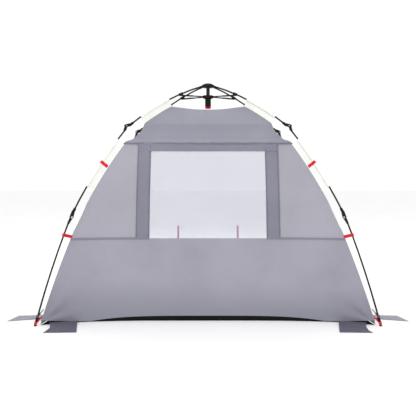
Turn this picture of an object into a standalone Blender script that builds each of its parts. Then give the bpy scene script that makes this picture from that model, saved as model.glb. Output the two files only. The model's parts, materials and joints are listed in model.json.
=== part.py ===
"""Pop up tent: a fabric shelter on four jointed legs that fold from a spring-open hub.

Metres, +Z up. The origin is the middle of the floor's underside. The rear wall faces -Y, the entrance +Y.
Each leg lies in one upright plane through the hub's axis, where a point is (r, z): distance out, and height.
"""

import math

import bmesh
import bpy
from mathutils import Matrix, Vector

# Overall sizes: the crown's top, and where a foot stands.
HUB_HEIGHT = 1.700
FOOT_X = 1.145
FOOT_Y = 0.700
FOOT_REACH = math.hypot(FOOT_X, FOOT_Y)

# Legs: joints of the pole line in the leg's plane, and how far each section is bowed outwards.
HUB_HINGE = (0.036, HUB_HEIGHT - 0.018)
UPPER_KNUCKLE = (FOOT_REACH * 0.504463, HUB_HEIGHT * 0.788824)
LOWER_KNUCKLE = (FOOT_REACH * 0.818168, HUB_HEIGHT * 0.419412)
UPPER_BOW = 0.034
MIDDLE_BOW = 0.022
LOWER_BOW = 0.012
POLE_RADIUS = 0.006

# Hub.
CROWN_RADIUS = 0.045
CROWN_HEIGHT = 0.030
CROWN_TOP_RADIUS = 0.030
CROWN_SLOT_RADIUS = 0.024
POST_RADIUS = 0.0135
POST_IN_RUNNER = 0.058
COLLAR_PIN = (0.030, HUB_HEIGHT - 0.102)
COLLAR_RADIUS = 0.040
COLLAR_HEIGHT = 0.020
RUNNER_RADIUS = 0.0225
RUNNER_LENGTH = 0.082
TAB_WIDTH = 0.046
TAB_THICKNESS = 0.003
TAB_HEIGHT = 0.020
TAB_TAPER = 0.8
SLOT_WIDTH = 0.0092

# Hinge plates and pins.
PIN_RADIUS = 0.0025
EYE_THICKNESS = 0.008
EYE_RADIUS = 0.010
CHEEK_THICKNESS = 0.004
CHEEK_RADIUS = 0.012
SOCKET_RADIUS = 0.010
SOCKET_LENGTH = 0.033
UPPER_HINGE_OFFSET = 0.013
LOWER_HINGE_OFFSET = -0.006
UPPER_SOCKET_SETBACK = 0.022
LOWER_SOCKET_SETBACK = 0.034
UPPER_EYE_LENGTH = 0.040
LOWER_EYE_LENGTH = 0.050
ROOT_EYE_LENGTH = 0.034
MIDDLE_EYE_START = 0.020
MIDDLE_ROD_START = 0.022
LOWER_EYE_START = 0.030
LOWER_ROD_START = 0.034

# Struts and the lugs that they brace.
LUG_PLACE = 0.2207
LUG_DROP = 0.00867
LUG_SETBACK = 0.0042
LUG_LENGTH = 0.030
LUG_RADIUS = 0.010
STRUT_THICKNESS = 0.008
STRUT_FORK_DEPTH = 0.088
STRUT_FORK_WALL = 0.003
STRUT_FORK_SHOULDER = 0.014

# Feet and sleeves.
FOOT_RADIUS = 0.0095
FOOT_LENGTH = 0.060
POLE_END_HEIGHT = 0.014
SLEEVE_WALL = 0.0026
SLEEVE_WIDTH = 0.051
SLEEVE_WEB = 0.003
SLEEVE_BORE_ANGLES = (172, 158, 120, 80, 40, 0, -40, -80, -120, -158, -172)
UPPER_SLEEVE = (0.330, 0.600)
MIDDLE_SLEEVE = (0.115, 0.520)
BAND_PLACE = 0.320
BAND_WIDTH = 0.022
BAND_THICKNESS = 0.0011

# Fabric.
CLOTH = 0.002
FLOOR_THICKNESS = 0.003
ROOF_TOP = HUB_HEIGHT * 0.887059
ROOF_SAG = 0.022
ROOF_ROWS = (0.0, 0.25, 0.49, 0.66, 0.80, 0.90, 0.95, 1.0)
ROOF_INNER_RING = 0.45
HEM_HEIGHT = HUB_HEIGHT * 0.718824
WALL_TUCK = 0.010
HEM_OVERLAP = 0.014
FOOT_EDGE_OFFSET = 0.026
UPPER_CUTOUT_DEPTH = 0.036
LOWER_CUTOUT_DEPTH = 0.014
CUTOUT_ABOVE = 0.130
CUTOUT_BELOW = 0.075
REAR_SAG_TOP = 0.012
REAR_SAG_BOTTOM = 0.135
SIDE_SAG_TOP = 0.006
SIDE_SAG_BOTTOM = 0.050
PANE_HALF_WIDTH = FOOT_X * 0.353712
PANE_TOP = HUB_HEIGHT * 0.687059
PANE_BOTTOM = HUB_HEIGHT * 0.336471
CORNER_GAP = 0.008
FLOOR_EDGE_HALF_WIDTH = FOOT_X * 0.689956
FLOOR_EDGE_HEIGHT = 0.034
WALL_FOOT = 0.006
GROUND = 0.001
WALL_LOW_ROW = 0.05
COLUMN_SHARE = 0.55
FLAP_THICKNESS = 0.002
FLAP_GAP = 0.006
REAR_FLAP = (FOOT_X * 0.772926, FOOT_X * 0.925764)
REAR_FLAP_TIPS = ((FOOT_X - 0.098, -FOOT_Y - 0.186), (FOOT_X - 0.309, -FOOT_Y - 0.175))
SIDE_FLAP = (-FOOT_Y * 0.857143, -FOOT_Y * 0.542857)
SIDE_FLAP_TIPS = ((FOOT_X + 0.227, -FOOT_Y + 0.130), (FOOT_X + 0.195, -FOOT_Y + 0.300))

# Clearances.
SEAT_GAP = 0.0004
PIN_GAP = 0.0004
SLIDE_GAP = 0.0006
SWING_GAP = 0.0006
SLEEVE_TO_WALL = 0.004
PANE_GAP = 0.0015
EDGE_GAP = 0.002

# Resolution.
ROUND = 10
PATH_STEPS = 6

LEG_TURN = math.atan2(FOOT_Y, FOOT_X)
FOOT = (FOOT_REACH, 0.0)
LEGS = {
    "rear_right": -LEG_TURN,
    "front_right": LEG_TURN,
    "front_left": math.pi - LEG_TURN,
    "rear_left": math.pi + LEG_TURN,
}


# ---- Scene and materials ----


def clear_scene():
    """Remove every object that is there before."""
    for obj in list(bpy.data.objects):
        bpy.data.objects.remove(obj, do_unlink=True)


def finish(name, colour, roughness, metallic=0.0, alpha=1.0):
    """A plain Principled BSDF material."""
    material = bpy.data.materials.new(name)
    material.use_nodes = True
    shader = material.node_tree.nodes["Principled BSDF"]
    shader.inputs["Base Color"].default_value = (*colour, 1.0)
    shader.inputs["Roughness"].default_value = roughness
    shader.inputs["Metallic"].default_value = metallic
    shader.inputs["Alpha"].default_value = alpha
    return material


def make_finishes():
    """The object's finishes by name."""
    return {
        "roof_fabric": finish("roof_fabric", (0.27, 0.27, 0.33), 0.85),
        "wall_fabric": finish("wall_fabric", (0.33, 0.32, 0.38), 0.85),
        "window_mesh": finish("window_mesh", (0.57, 0.57, 0.66), 0.60, alpha=0.5),
        "floor_fabric": finish("floor_fabric", (0.02, 0.02, 0.02), 0.70),
        "flap_fabric": finish("flap_fabric", (0.10, 0.10, 0.14), 0.90),
        "sleeve_fabric": finish("sleeve_fabric", (0.87, 0.87, 0.83), 0.80),
        "red_webbing": finish("red_webbing", (0.79, 0.0, 0.01), 0.75),
        "pole": finish("pole", (0.02, 0.02, 0.02), 0.35),
        "black_plastic": finish("black_plastic", (0.012, 0.012, 0.012), 0.50),
        "post_steel": finish("post_steel", (0.30, 0.30, 0.31), 0.30, metallic=1.0),
    }


# ---- Making solids ----


def to_mesh(bm, name):
    """Close up a bmesh: faces outwards, round parts smooth."""
    bmesh.ops.recalc_face_normals(bm, faces=bm.faces)
    mesh = bpy.data.meshes.new(name)
    bm.to_mesh(mesh)
    bm.free()
    mesh.shade_smooth()
    mesh.set_sharp_from_angle(angle=math.radians(35))
    return mesh


def add_object(name, mesh, material=None):
    """Put a mesh into the scene as an object."""
    obj = bpy.data.objects.new(name, mesh)
    bpy.context.scene.collection.objects.link(obj)
    if material is not None:
        mesh.materials.clear()
        mesh.materials.append(material)
    return obj


def bridge_rings(bm, rings, closed_caps=True):
    """Skin a list of vertex rings of equal length, and cap both ends."""
    for first, second in zip(rings, rings[1:]):
        count = len(first)
        for i in range(count):
            j = (i + 1) % count
            bm.faces.new((first[i], first[j], second[j], second[i]))
    if closed_caps:
        bm.faces.new(rings[0][::-1])
        bm.faces.new(rings[-1])


def ring_along(bm, path, section):
    """One vertex ring per path point. A section point is (towards the path's outer side, sideways)."""
    rings = []
    for i, point in enumerate(path):
        before = path[max(i - 1, 0)]
        after = path[min(i + 1, len(path) - 1)]
        along = (Vector(after) - Vector(before)).normalized()
        outer = Vector((-along.y, along.x))
        rings.append(
            [bm.verts.new((point[0] + a * outer.x, w, point[1] + a * outer.y)) for a, w in section]
        )
    return rings


def sweep(path, section):
    """A solid bar of a constant section along a path in the leg's plane."""
    bm = bmesh.new()
    bridge_rings(bm, ring_along(bm, path, section))
    return bm


def hollow_sweep(path, outer, inner):
    """A tube of matching outer and inner sections along a path."""
    bm = bmesh.new()
    outer_rings = ring_along(bm, path, outer)
    inner_rings = ring_along(bm, path, inner)
    bridge_rings(bm, outer_rings, closed_caps=False)
    bridge_rings(bm, inner_rings, closed_caps=False)
    count = len(outer)
    for outside, inside in ((outer_rings[0], inner_rings[0]), (outer_rings[-1], inner_rings[-1])):
        for i in range(count):
            j = (i + 1) % count
            bm.faces.new((outside[i], outside[j], inside[j], inside[i]))
    return bm


def circle(radius, count=ROUND, centre=(0.0, 0.0)):
    """Points of a regular circle."""
    turn = 2 * math.pi / count
    return [
        (centre[0] + radius * math.cos(i * turn), centre[1] + radius * math.sin(i * turn))
        for i in range(count)
    ]


def plate(outline, low, high):
    """An outline in the leg's plane, given thickness sideways from low to high."""
    bm = bmesh.new()
    rings = [[bm.verts.new((r, side, z)) for r, z in outline] for side in (low, high)]
    bridge_rings(bm, rings)
    return bm


def turned(profile, count):
    """A closed profile of (radius, z) turned about the upright axis. A radius of 0 is a pole."""
    bm = bmesh.new()
    turn = 2 * math.pi / count
    rings = []
    for radius, z in profile:
        if radius == 0.0:
            rings.append([bm.verts.new((0.0, 0.0, z))])
        else:
            rings.append(
                [bm.verts.new((radius * math.cos(i * turn), radius * math.sin(i * turn), z)) for i in range(count)]
            )
    pairs = list(zip(rings, rings[1:]))
    if len(rings[0]) > 1 and len(rings[-1]) > 1:
        pairs.append((rings[-1], rings[0]))
    for first, second in pairs:
        for i in range(count):
            j = (i + 1) % count
            if len(first) == 1:
                bm.faces.new((first[0], second[j], second[i]))
            elif len(second) == 1:
                bm.faces.new((first[i], first[j], second[0]))
            else:
                bm.faces.new((first[i], first[j], second[j], second[i]))
    return bm


def hull_outline(points):
    """The convex outline around points in a plane."""
    ordered = sorted(set(points))

    def half(sequence):
        chain = []
        for p in sequence:
            while len(chain) > 1:
                a, b = chain[-2], chain[-1]
                if (b[0] - a[0]) * (p[1] - a[1]) - (b[1] - a[1]) * (p[0] - a[0]) > 0:
                    break
                chain.pop()
            chain.append(p)
        return chain[:-1]

    return half(ordered) + half(ordered[::-1])


def boolean(base, operation, *tools):
    """Join tool solids to a base mesh, or cut them from it, and return the finished mesh."""
    body = add_object("working_body", base)
    for tool in tools:
        other = add_object("working_tool", tool)
        modifier = body.modifiers.new(operation.lower(), "BOOLEAN")
        modifier.operation = operation
        modifier.solver = "EXACT"
        modifier.object = other
        with bpy.context.temp_override(object=body, active_object=body):
            bpy.ops.object.modifier_apply(modifier=modifier.name)
        bpy.data.objects.remove(other, do_unlink=True)
    mesh = body.data
    bpy.data.objects.remove(body, do_unlink=True)
    mesh.shade_smooth()
    mesh.set_sharp_from_angle(angle=math.radians(35))
    return mesh


# ---- The pole line ----


def bowed(start, end, bow, steps=PATH_STEPS):
    """Points of a section from start to end, bowed outwards by bow at its middle."""
    a, b = Vector(start), Vector(end)
    along = (b - a).normalized()
    outer = Vector((-along.y, along.x))
    return [
        tuple(a.lerp(b, i / steps) + outer * bow * 4 * (i / steps) * (1 - i / steps)) for i in range(steps + 1)
    ]


def lengths(path):
    """Distance along a path at each of its points."""
    total = [0.0]
    for a, b in zip(path, path[1:]):
        total.append(total[-1] + math.dist(a, b))
    return total


def point_at(path, distance):
    """The point at a distance along a path."""
    total = lengths(path)
    for i in range(len(path) - 1):
        if distance <= total[i + 1] or i == len(path) - 2:
            share = (distance - total[i]) / (total[i + 1] - total[i])
            return tuple(Vector(path[i]).lerp(Vector(path[i + 1]), share))
    return path[-1]


def stretch(path, start, end):
    """The part of a path between two distances, with its own points kept."""
    inner = [p for p, d in zip(path, lengths(path)) if start + 0.004 < d < end - 0.004]
    return [point_at(path, start), *inner, point_at(path, end)]


def frame_at(path, distance):
    """Origin, direction and outward normal of a path at a distance."""
    a = Vector(point_at(path, distance - 0.004))
    b = Vector(point_at(path, distance + 0.004))
    along = (b - a).normalized()
    return Vector(point_at(path, distance)), along, Vector((-along.y, along.x))


def local(frame, points):
    """Points given as (along, outwards) in a frame, in the leg's plane."""
    origin, along, outer = frame
    return [tuple(origin + along * t + outer * n) for t, n in points]


UPPER_PATH = bowed(HUB_HINGE, UPPER_KNUCKLE, UPPER_BOW)
MIDDLE_PATH = bowed(UPPER_KNUCKLE, LOWER_KNUCKLE, MIDDLE_BOW)
LOWER_PATH = bowed(LOWER_KNUCKLE, FOOT, LOWER_BOW)
UPPER_LENGTH = lengths(UPPER_PATH)[-1]
MIDDLE_LENGTH = lengths(MIDDLE_PATH)[-1]
LOWER_LENGTH = lengths(LOWER_PATH)[-1]


def knuckle_frame(first, second, offset):
    """Frame at the joint of two sections, along their mean direction, and its hinge point."""
    _, before, _ = frame_at(first, lengths(first)[-1] - 0.010)
    _, after, _ = frame_at(second, 0.010)
    along = (before + after).normalized()
    outer = Vector((-along.y, along.x))
    origin = Vector(second[0])
    return (origin, along, outer), tuple(origin + outer * offset)


UPPER_FRAME, UPPER_HINGE = knuckle_frame(UPPER_PATH, MIDDLE_PATH, UPPER_HINGE_OFFSET)
LOWER_FRAME, LOWER_HINGE = knuckle_frame(MIDDLE_PATH, LOWER_PATH, LOWER_HINGE_OFFSET)


LUG_PIVOT = local(frame_at(UPPER_PATH, LUG_PLACE), [(0.0, -LUG_DROP)])[0]


def cross_pin(centre, radius, half_width, count=ROUND):
    """A round pin square to the leg's plane."""
    return to_mesh(plate(circle(radius, count, centre), -half_width, half_width), "pin")


def eye_plate(path, start, hinge, length, radius):
    """A flattened pole end with a pin hole: a plate from around the hinge to along the pole."""
    frame = frame_at(path, max(start, 0.005))
    body = [(0.0, -POLE_RADIUS), (0.0, POLE_RADIUS), (length, -POLE_RADIUS), (length, POLE_RADIUS)]
    outline = hull_outline(circle(radius, 12, hinge) + local(frame, body))
    half = EYE_THICKNESS / 2
    blank = to_mesh(plate(outline, -half, half), "eye")
    hole = cross_pin(hinge, PIN_RADIUS + PIN_GAP, EYE_THICKNESS)
    return boolean(blank, "DIFFERENCE", hole)


def pole_with_eye(path, eye, start, end):
    """A round pole joined to its flattened end."""
    rod = to_mesh(sweep(stretch(path, start, end), circle(POLE_RADIUS)), "pole")
    return boolean(rod, "UNION", eye)


def knuckle_fork(path, hinge, frame, setback, path_length):
    """The forked fitting on a pole's end: a socket, two cheeks and the riveted pin between them."""
    socket_end = path_length - setback
    route = stretch(path, socket_end - SOCKET_LENGTH, socket_end)
    socket = to_mesh(sweep(route, circle(SOCKET_RADIUS)), "socket")
    root = [(-setback - 0.012, -0.008), (-setback - 0.012, 0.008), (-setback + 0.004, -0.007)]
    outline = hull_outline(circle(CHEEK_RADIUS, 12, hinge) + local(frame, root))
    inner = EYE_THICKNESS / 2 + SWING_GAP
    outer = inner + CHEEK_THICKNESS
    cheeks = [to_mesh(plate(outline, side * inner, side * outer), "cheek") for side in (-1, 1)]
    pin = cross_pin(hinge, PIN_RADIUS, inner + CHEEK_THICKNESS / 2)
    whole = boolean(socket, "UNION", *cheeks, pin)
    bore_end = socket_end - 0.006
    bore = to_mesh(sweep(stretch(path, bore_end - SOCKET_LENGTH, bore_end), circle(POLE_RADIUS + SEAT_GAP)), "bore")
    return boolean(whole, "DIFFERENCE", bore), bore_end - SEAT_GAP


# ---- Leg pieces ----


def leg_piece(name, mesh, pivot, material):
    """One copy of a leg piece on each leg, with its origin on the pivot."""
    mesh.transform(Matrix.Translation((-pivot[0], 0.0, -pivot[1])))
    for leg, turn in LEGS.items():
        obj = add_object(f"{name}_{leg}", mesh, material)
        obj.location = (pivot[0] * math.cos(turn), pivot[0] * math.sin(turn), pivot[1])
        obj.rotation_euler = (0.0, 0.0, turn)


def sleeve_outline(extra=0.0):
    """Outline of a pole sleeve: a round pocket for the pole and a flat web that is sewn to the canopy."""
    pocket = POLE_RADIUS + SEAT_GAP + SLEEVE_WALL + extra
    half = SLEEVE_WEB / 2 + extra
    root = math.pi - math.asin(half / pocket)
    arc = [(pocket * math.cos(a), pocket * math.sin(a)) for a in (root * k / 4 for k in range(4, -5, -1))]
    tip = -(SLEEVE_WIDTH + extra)
    return [(tip, half), *arc, (tip, -half)]


def sleeve_bore():
    """Inner outline of a sleeve, with a point for each point of its outer outline."""
    radius = POLE_RADIUS + SEAT_GAP
    return [(radius * math.cos(math.radians(a)), radius * math.sin(math.radians(a))) for a in SLEEVE_BORE_ANGLES]


def make_upper_poles(materials):
    """Upper poles with the eye that hangs on the crown, their forks, lugs and sleeves."""
    fork, pole_end = knuckle_fork(UPPER_PATH, UPPER_HINGE, UPPER_FRAME, UPPER_SOCKET_SETBACK, UPPER_LENGTH)
    eye = eye_plate(UPPER_PATH, 0.0, HUB_HINGE, ROOT_EYE_LENGTH, EYE_RADIUS * 0.7)
    pole = pole_with_eye(UPPER_PATH, eye, ROOT_EYE_LENGTH - 0.010, pole_end)
    leg_piece("upper_pole", pole, HUB_HINGE, materials["pole"])
    leg_piece("upper_knuckle", fork, HUB_HINGE, materials["black_plastic"])
    start, end = UPPER_SLEEVE
    sleeve = to_mesh(hollow_sweep(stretch(UPPER_PATH, start, end), sleeve_outline(), sleeve_bore()), "sleeve")
    leg_piece("upper_sleeve", sleeve, HUB_HINGE, materials["sleeve_fabric"])
    leg_piece("strut_lug", make_lug(), HUB_HINGE, materials["black_plastic"])


def make_lug():
    """The clamp that a strut pushes on, with a short pin on each side that stops short of the strut's fork."""
    place = LUG_PLACE - LUG_SETBACK
    route = stretch(UPPER_PATH, place - LUG_LENGTH / 2, place + LUG_LENGTH / 2)
    clamp = to_mesh(sweep(route, circle(LUG_RADIUS)), "clamp")
    frame = frame_at(UPPER_PATH, place)
    top = local(frame, [(-0.008, -0.006), (0.008, -0.006)])
    outline = hull_outline(circle(0.006, 10, LUG_PIVOT) + top)
    ear = to_mesh(plate(outline, -EYE_THICKNESS / 2, EYE_THICKNESS / 2), "ear")
    pins = cross_pin(LUG_PIVOT, PIN_RADIUS, LUG_RADIUS)
    whole = boolean(clamp, "UNION", ear, pins)
    longer = stretch(UPPER_PATH, place - LUG_LENGTH, place + LUG_LENGTH)
    bore = to_mesh(sweep(longer, circle(POLE_RADIUS + SEAT_GAP)), "bore")
    return boolean(whole, "DIFFERENCE", bore)


def make_middle_poles(materials):
    """Middle poles with their eye, forks, sleeves and red bands."""
    fork, pole_end = knuckle_fork(MIDDLE_PATH, LOWER_HINGE, LOWER_FRAME, LOWER_SOCKET_SETBACK, MIDDLE_LENGTH)
    eye = eye_plate(MIDDLE_PATH, MIDDLE_EYE_START, UPPER_HINGE, UPPER_EYE_LENGTH - MIDDLE_EYE_START, EYE_RADIUS)
    pole = pole_with_eye(MIDDLE_PATH, eye, MIDDLE_ROD_START, pole_end)
    leg_piece("middle_pole", pole, UPPER_HINGE, materials["pole"])
    leg_piece("lower_knuckle", fork, UPPER_HINGE, materials["black_plastic"])
    start, end = MIDDLE_SLEEVE
    sleeve = to_mesh(hollow_sweep(stretch(MIDDLE_PATH, start, end), sleeve_outline(), sleeve_bore()), "sleeve")
    leg_piece("middle_sleeve", sleeve, UPPER_HINGE, materials["sleeve_fabric"])
    route = stretch(MIDDLE_PATH, BAND_PLACE - BAND_WIDTH / 2, BAND_PLACE + BAND_WIDTH / 2)
    band = hollow_sweep(route, sleeve_outline(SEAT_GAP + BAND_THICKNESS), sleeve_outline(SEAT_GAP))
    leg_piece("sleeve_band", to_mesh(band, "band"), UPPER_HINGE, materials["red_webbing"])


def make_lower_poles(materials):
    """Lower poles with their eye, and the feet that they stand in."""
    eye = eye_plate(LOWER_PATH, LOWER_EYE_START, LOWER_HINGE, LOWER_EYE_LENGTH - LOWER_EYE_START, EYE_RADIUS)
    pole_end = LOWER_LENGTH - POLE_END_HEIGHT
    pole = pole_with_eye(LOWER_PATH, eye, LOWER_ROD_START, pole_end)
    leg_piece("lower_pole", pole, LOWER_HINGE, materials["pole"])
    tapered = to_mesh(sweep(stretch(LOWER_PATH, LOWER_LENGTH - FOOT_LENGTH, LOWER_LENGTH), circle(FOOT_RADIUS)), "foot")
    for vertex in tapered.vertices:
        if vertex.co.z < FOOT_RADIUS:
            vertex.co.z = 0.0
    route = stretch(LOWER_PATH, LOWER_LENGTH - FOOT_LENGTH - 0.010, pole_end + SEAT_GAP)
    bore = to_mesh(sweep(route, circle(POLE_RADIUS + SEAT_GAP)), "bore")
    leg_piece("foot", boolean(tapered, "DIFFERENCE", bore), LOWER_HINGE, materials["black_plastic"])


def make_struts(materials):
    """Struts: a bar on the runner's collar whose outer end is a long fork around the pole and its lug."""
    start, end = Vector(COLLAR_PIN), Vector(LUG_PIVOT)
    along = (end - start).normalized()
    outer = Vector((-along.y, along.x))
    length = (end - start).length
    bar = EYE_THICKNESS / 2
    gap = LUG_RADIUS + SWING_GAP * 2
    wide = gap + STRUT_FORK_WALL
    slot = length - STRUT_FORK_DEPTH
    neck = slot - STRUT_FORK_SHOULDER
    tip = length + 0.007
    one_side = [(-0.006, bar), (neck - STRUT_FORK_SHOULDER, bar), (neck, wide), (tip, wide), (tip, gap), (slot, gap)]
    outline = one_side + [(s, -w) for s, w in reversed(one_side)]
    bm = bmesh.new()
    rings = []
    for a in (-STRUT_THICKNESS / 2, STRUT_THICKNESS / 2):
        base = start + outer * a
        rings.append([bm.verts.new((base.x + along.x * s, w, base.y + along.y * s)) for s, w in outline])
    bridge_rings(bm, rings)
    hole = cross_pin(COLLAR_PIN, PIN_RADIUS + PIN_GAP, EYE_THICKNESS)
    strut = boolean(to_mesh(bm, "strut"), "DIFFERENCE", hole)
    leg_piece("strut", strut, COLLAR_PIN, materials["black_plastic"])


# ---- Hub ----


def radial_slots(mesh, inner, outer, low, high):
    """Cut the four slots that hold the leg fittings of a hub ring."""
    for turn in LEGS.values():
        outline = [(inner, low), (outer, low), (outer, high), (inner, high)]
        slot = to_mesh(plate(outline, -SLOT_WIDTH / 2, SLOT_WIDTH / 2), "slot")
        slot.transform(Matrix.Rotation(turn, 4, "Z"))
        mesh = boolean(mesh, "DIFFERENCE", slot)
    return mesh


def hub_pins(mesh, place):
    """Add the four riveted pins across the slots of a hub ring."""
    for turn in LEGS.values():
        pin = cross_pin(place, PIN_RADIUS, SLOT_WIDTH / 2 + 0.003)
        pin.transform(Matrix.Rotation(turn, 4, "Z"))
        mesh = boolean(mesh, "UNION", pin)
    return mesh


def make_hub(materials):
    """Crown, post, runner with its collar, and the red pull tab."""
    low = HUB_HEIGHT - CROWN_HEIGHT
    profile = [
        (0.0, HUB_HEIGHT),
        (CROWN_TOP_RADIUS - 0.006, HUB_HEIGHT),
        (CROWN_TOP_RADIUS, HUB_HEIGHT - 0.003),
        (CROWN_RADIUS, HUB_HEIGHT - 0.010),
        (CROWN_RADIUS, low),
        (0.0, low),
    ]
    crown = to_mesh(turned(profile, 24), "crown")
    crown = radial_slots(crown, CROWN_SLOT_RADIUS, CROWN_RADIUS + 0.01, low - 0.01, HUB_HEIGHT + 0.01)
    add_object("crown", hub_pins(crown, HUB_HINGE), materials["black_plastic"])

    collar_top = COLLAR_PIN[1] + COLLAR_HEIGHT / 2
    post_end = collar_top - POST_IN_RUNNER
    post = turned([(0.0, low - SEAT_GAP), (POST_RADIUS, low - SEAT_GAP), (POST_RADIUS, post_end), (0.0, post_end)], 16)
    add_object("post", to_mesh(post, "post"), materials["post_steel"])

    bore = POST_RADIUS + SLIDE_GAP
    bottom = collar_top - RUNNER_LENGTH
    collar_bottom = collar_top - COLLAR_HEIGHT
    profile = [
        (bore, collar_top),
        (COLLAR_RADIUS, collar_top),
        (COLLAR_RADIUS, collar_bottom),
        (RUNNER_RADIUS, collar_bottom - 0.006),
        (RUNNER_RADIUS, bottom),
        (bore, bottom),
    ]
    runner = to_mesh(turned(profile, 24), "runner")
    runner = radial_slots(runner, RUNNER_RADIUS, COLLAR_RADIUS + 0.01, collar_bottom - 0.012, collar_top + 0.01)
    add_object("runner", hub_pins(runner, COLLAR_PIN), materials["black_plastic"])

    top = bottom - SEAT_GAP
    half = TAB_WIDTH / 2
    narrow = half * TAB_TAPER
    outline = [(-half, top), (half, top), (narrow, top - TAB_HEIGHT), (-narrow, top - TAB_HEIGHT)]
    tab = to_mesh(plate(outline, -TAB_THICKNESS / 2, TAB_THICKNESS / 2), "tab")
    add_object("pull_tab", tab, materials["red_webbing"])


# ---- Fabric ----


def edge_offset(distance):
    """How far inside the pole line the canopy's corner runs, at a distance from the hub."""
    lower_knuckle = UPPER_LENGTH + MIDDLE_LENGTH
    offset = SLEEVE_WIDTH + SLEEVE_TO_WALL
    below = max(0.0, (distance - lower_knuckle) / LOWER_LENGTH)
    offset += (FOOT_EDGE_OFFSET - offset) * below
    for knuckle, depth in ((UPPER_LENGTH, UPPER_CUTOUT_DEPTH), (lower_knuckle, LOWER_CUTOUT_DEPTH)):
        away = (distance - knuckle) / (CUTOUT_BELOW if distance > knuckle else CUTOUT_ABOVE)
        offset += depth * max(0.0, 1 - abs(away) ** 3)
    return offset


def corner_curve():
    """The canopy's corner in a leg's plane, from the roof's top edge to the ground."""
    sections = [(UPPER_PATH, 0.0), (MIDDLE_PATH, UPPER_LENGTH), (LOWER_PATH, UPPER_LENGTH + MIDDLE_LENGTH)]
    points = []
    for path, before in sections:
        length = lengths(path)[-1]
        for k in range(1, 40):
            distance = length * k / 40
            origin, _, outer = frame_at(path, distance)
            points.append(tuple(origin - outer * edge_offset(before + distance)))
    ordered = [points[0]]
    for point in points[1:]:
        if point[1] < ordered[-1][1] - 0.001:
            ordered.append(point)
    ordered.append((FOOT[0] - FOOT_EDGE_OFFSET, 0.0))
    return ordered


CORNER = corner_curve()


def corner_reach(z):
    """Distance of the canopy's corner from the hub's axis at a height."""
    for (r1, z1), (r2, z2) in zip(CORNER, CORNER[1:]):
        if z1 >= z >= z2:
            return r1 + (r2 - r1) * (z1 - z) / (z1 - z2)
    return CORNER[0][0] if z > CORNER[0][1] else CORNER[-1][0]


def sag_at(z, top, bottom):
    """How far the middle of a wall hangs inwards of the line between its corners."""
    down = 1 - z / ROOF_TOP
    return top + (bottom - top) * down * down


def rear_point(share, z, inset):
    """A point of the rear wall: share runs from -1 at its left corner to 1 at its right."""
    reach = corner_reach(z)
    x = share * (reach * math.cos(LEG_TURN) - inset)
    depth = reach * math.sin(LEG_TURN) - inset - sag_at(z, REAR_SAG_TOP, REAR_SAG_BOTTOM) * (1 - share**4)
    return Vector((x, -depth, z))


def side_point(share, z, inset, side):
    """A point of a side wall: share runs from -1 at its rear corner to 1 at its front."""
    reach = corner_reach(z)
    y = share * (reach * math.sin(LEG_TURN) - inset)
    x = reach * math.cos(LEG_TURN) - inset - sag_at(z, SIDE_SAG_TOP, SIDE_SAG_BOTTOM) * (1 - share * share)
    return Vector((side * x, y, z))


def cloth(name, rows, material, skip=()):
    """A sheet of cloth through a grid of points, thickened inwards, with the cells in skip left open."""
    bm = bmesh.new()
    verts = [[bm.verts.new(p) for p in row] for row in rows]
    centre = Vector((0.0, 0.0, 0.6))
    for i in range(len(rows) - 1):
        for j in range(len(rows[0]) - 1):
            if (i, j) in skip:
                continue
            face = bm.faces.new((verts[i][j], verts[i][j + 1], verts[i + 1][j + 1], verts[i + 1][j]))
            face.normal_update()
            if face.normal.dot(face.calc_center_median() - centre) < 0:
                face.normal_flip()
    loose = [v for v in bm.verts if not v.link_faces]
    bmesh.ops.delete(bm, geom=loose, context="VERTS")
    mesh = bpy.data.meshes.new(name)
    bm.to_mesh(mesh)
    bm.free()
    mesh.shade_smooth()
    obj = add_object(name, mesh, material)
    thicken = obj.modifiers.new("thickness", "SOLIDIFY")
    thicken.thickness = CLOTH
    thicken.offset = -1.0
    return obj


def spread(low, high, steps):
    """Evenly spaced values from low to high."""
    return [low + (high - low) * k / steps for k in range(steps + 1)]


WALL_TOP = HEM_HEIGHT + HEM_OVERLAP


def rear_half_width(z):
    """Half the rear wall's width at a height, corner to corner."""
    return corner_reach(z) * math.cos(LEG_TURN) - WALL_TUCK


def wall_columns(z):
    """Where the rear wall's columns of points stand at a height, from left to right."""
    outer = rear_half_width(z) - CORNER_GAP
    between = PANE_HALF_WIDTH + (outer - PANE_HALF_WIDTH) * COLUMN_SHARE
    return [-outer, -between, *spread(-PANE_HALF_WIDTH, PANE_HALF_WIDTH, 4), between, outer]


def floor_edge_top(x):
    """Height of the floor's upturned rear edge, which fades out towards the corners."""
    inside = max(0.0, 1 - (abs(x) / FLOOR_EDGE_HALF_WIDTH) ** 4)
    return WALL_FOOT + (FLOOR_EDGE_HEIGHT - WALL_FOOT) * inside


def make_rear_wall(materials):
    """Rear wall with its window opening, and the pane in it."""
    heights = [WALL_TOP, HEM_HEIGHT, *spread(PANE_TOP, PANE_BOTTOM, 4), *spread(PANE_BOTTOM, WALL_LOW_ROW, 3)[1:], GROUND]
    rows = []
    for z in heights:
        row = [rear_point(x / rear_half_width(z), z, WALL_TUCK) for x in wall_columns(z)]
        if z == GROUND:
            for point in row:
                point.z = floor_edge_top(point.x) + EDGE_GAP
        rows.append(row)
    hole = [(i, j) for i in range(2, 6) for j in range(2, 6)]
    cloth("rear_wall", rows, materials["wall_fabric"], hole)

    pane_rows = []
    for z in spread(PANE_TOP - PANE_GAP, PANE_BOTTOM + PANE_GAP, 4):
        half = PANE_HALF_WIDTH - PANE_GAP
        pane_rows.append([rear_point(x / rear_half_width(z), z, WALL_TUCK) for x in spread(-half, half, 4)])
    cloth("window_pane", pane_rows, materials["window_mesh"])


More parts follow.
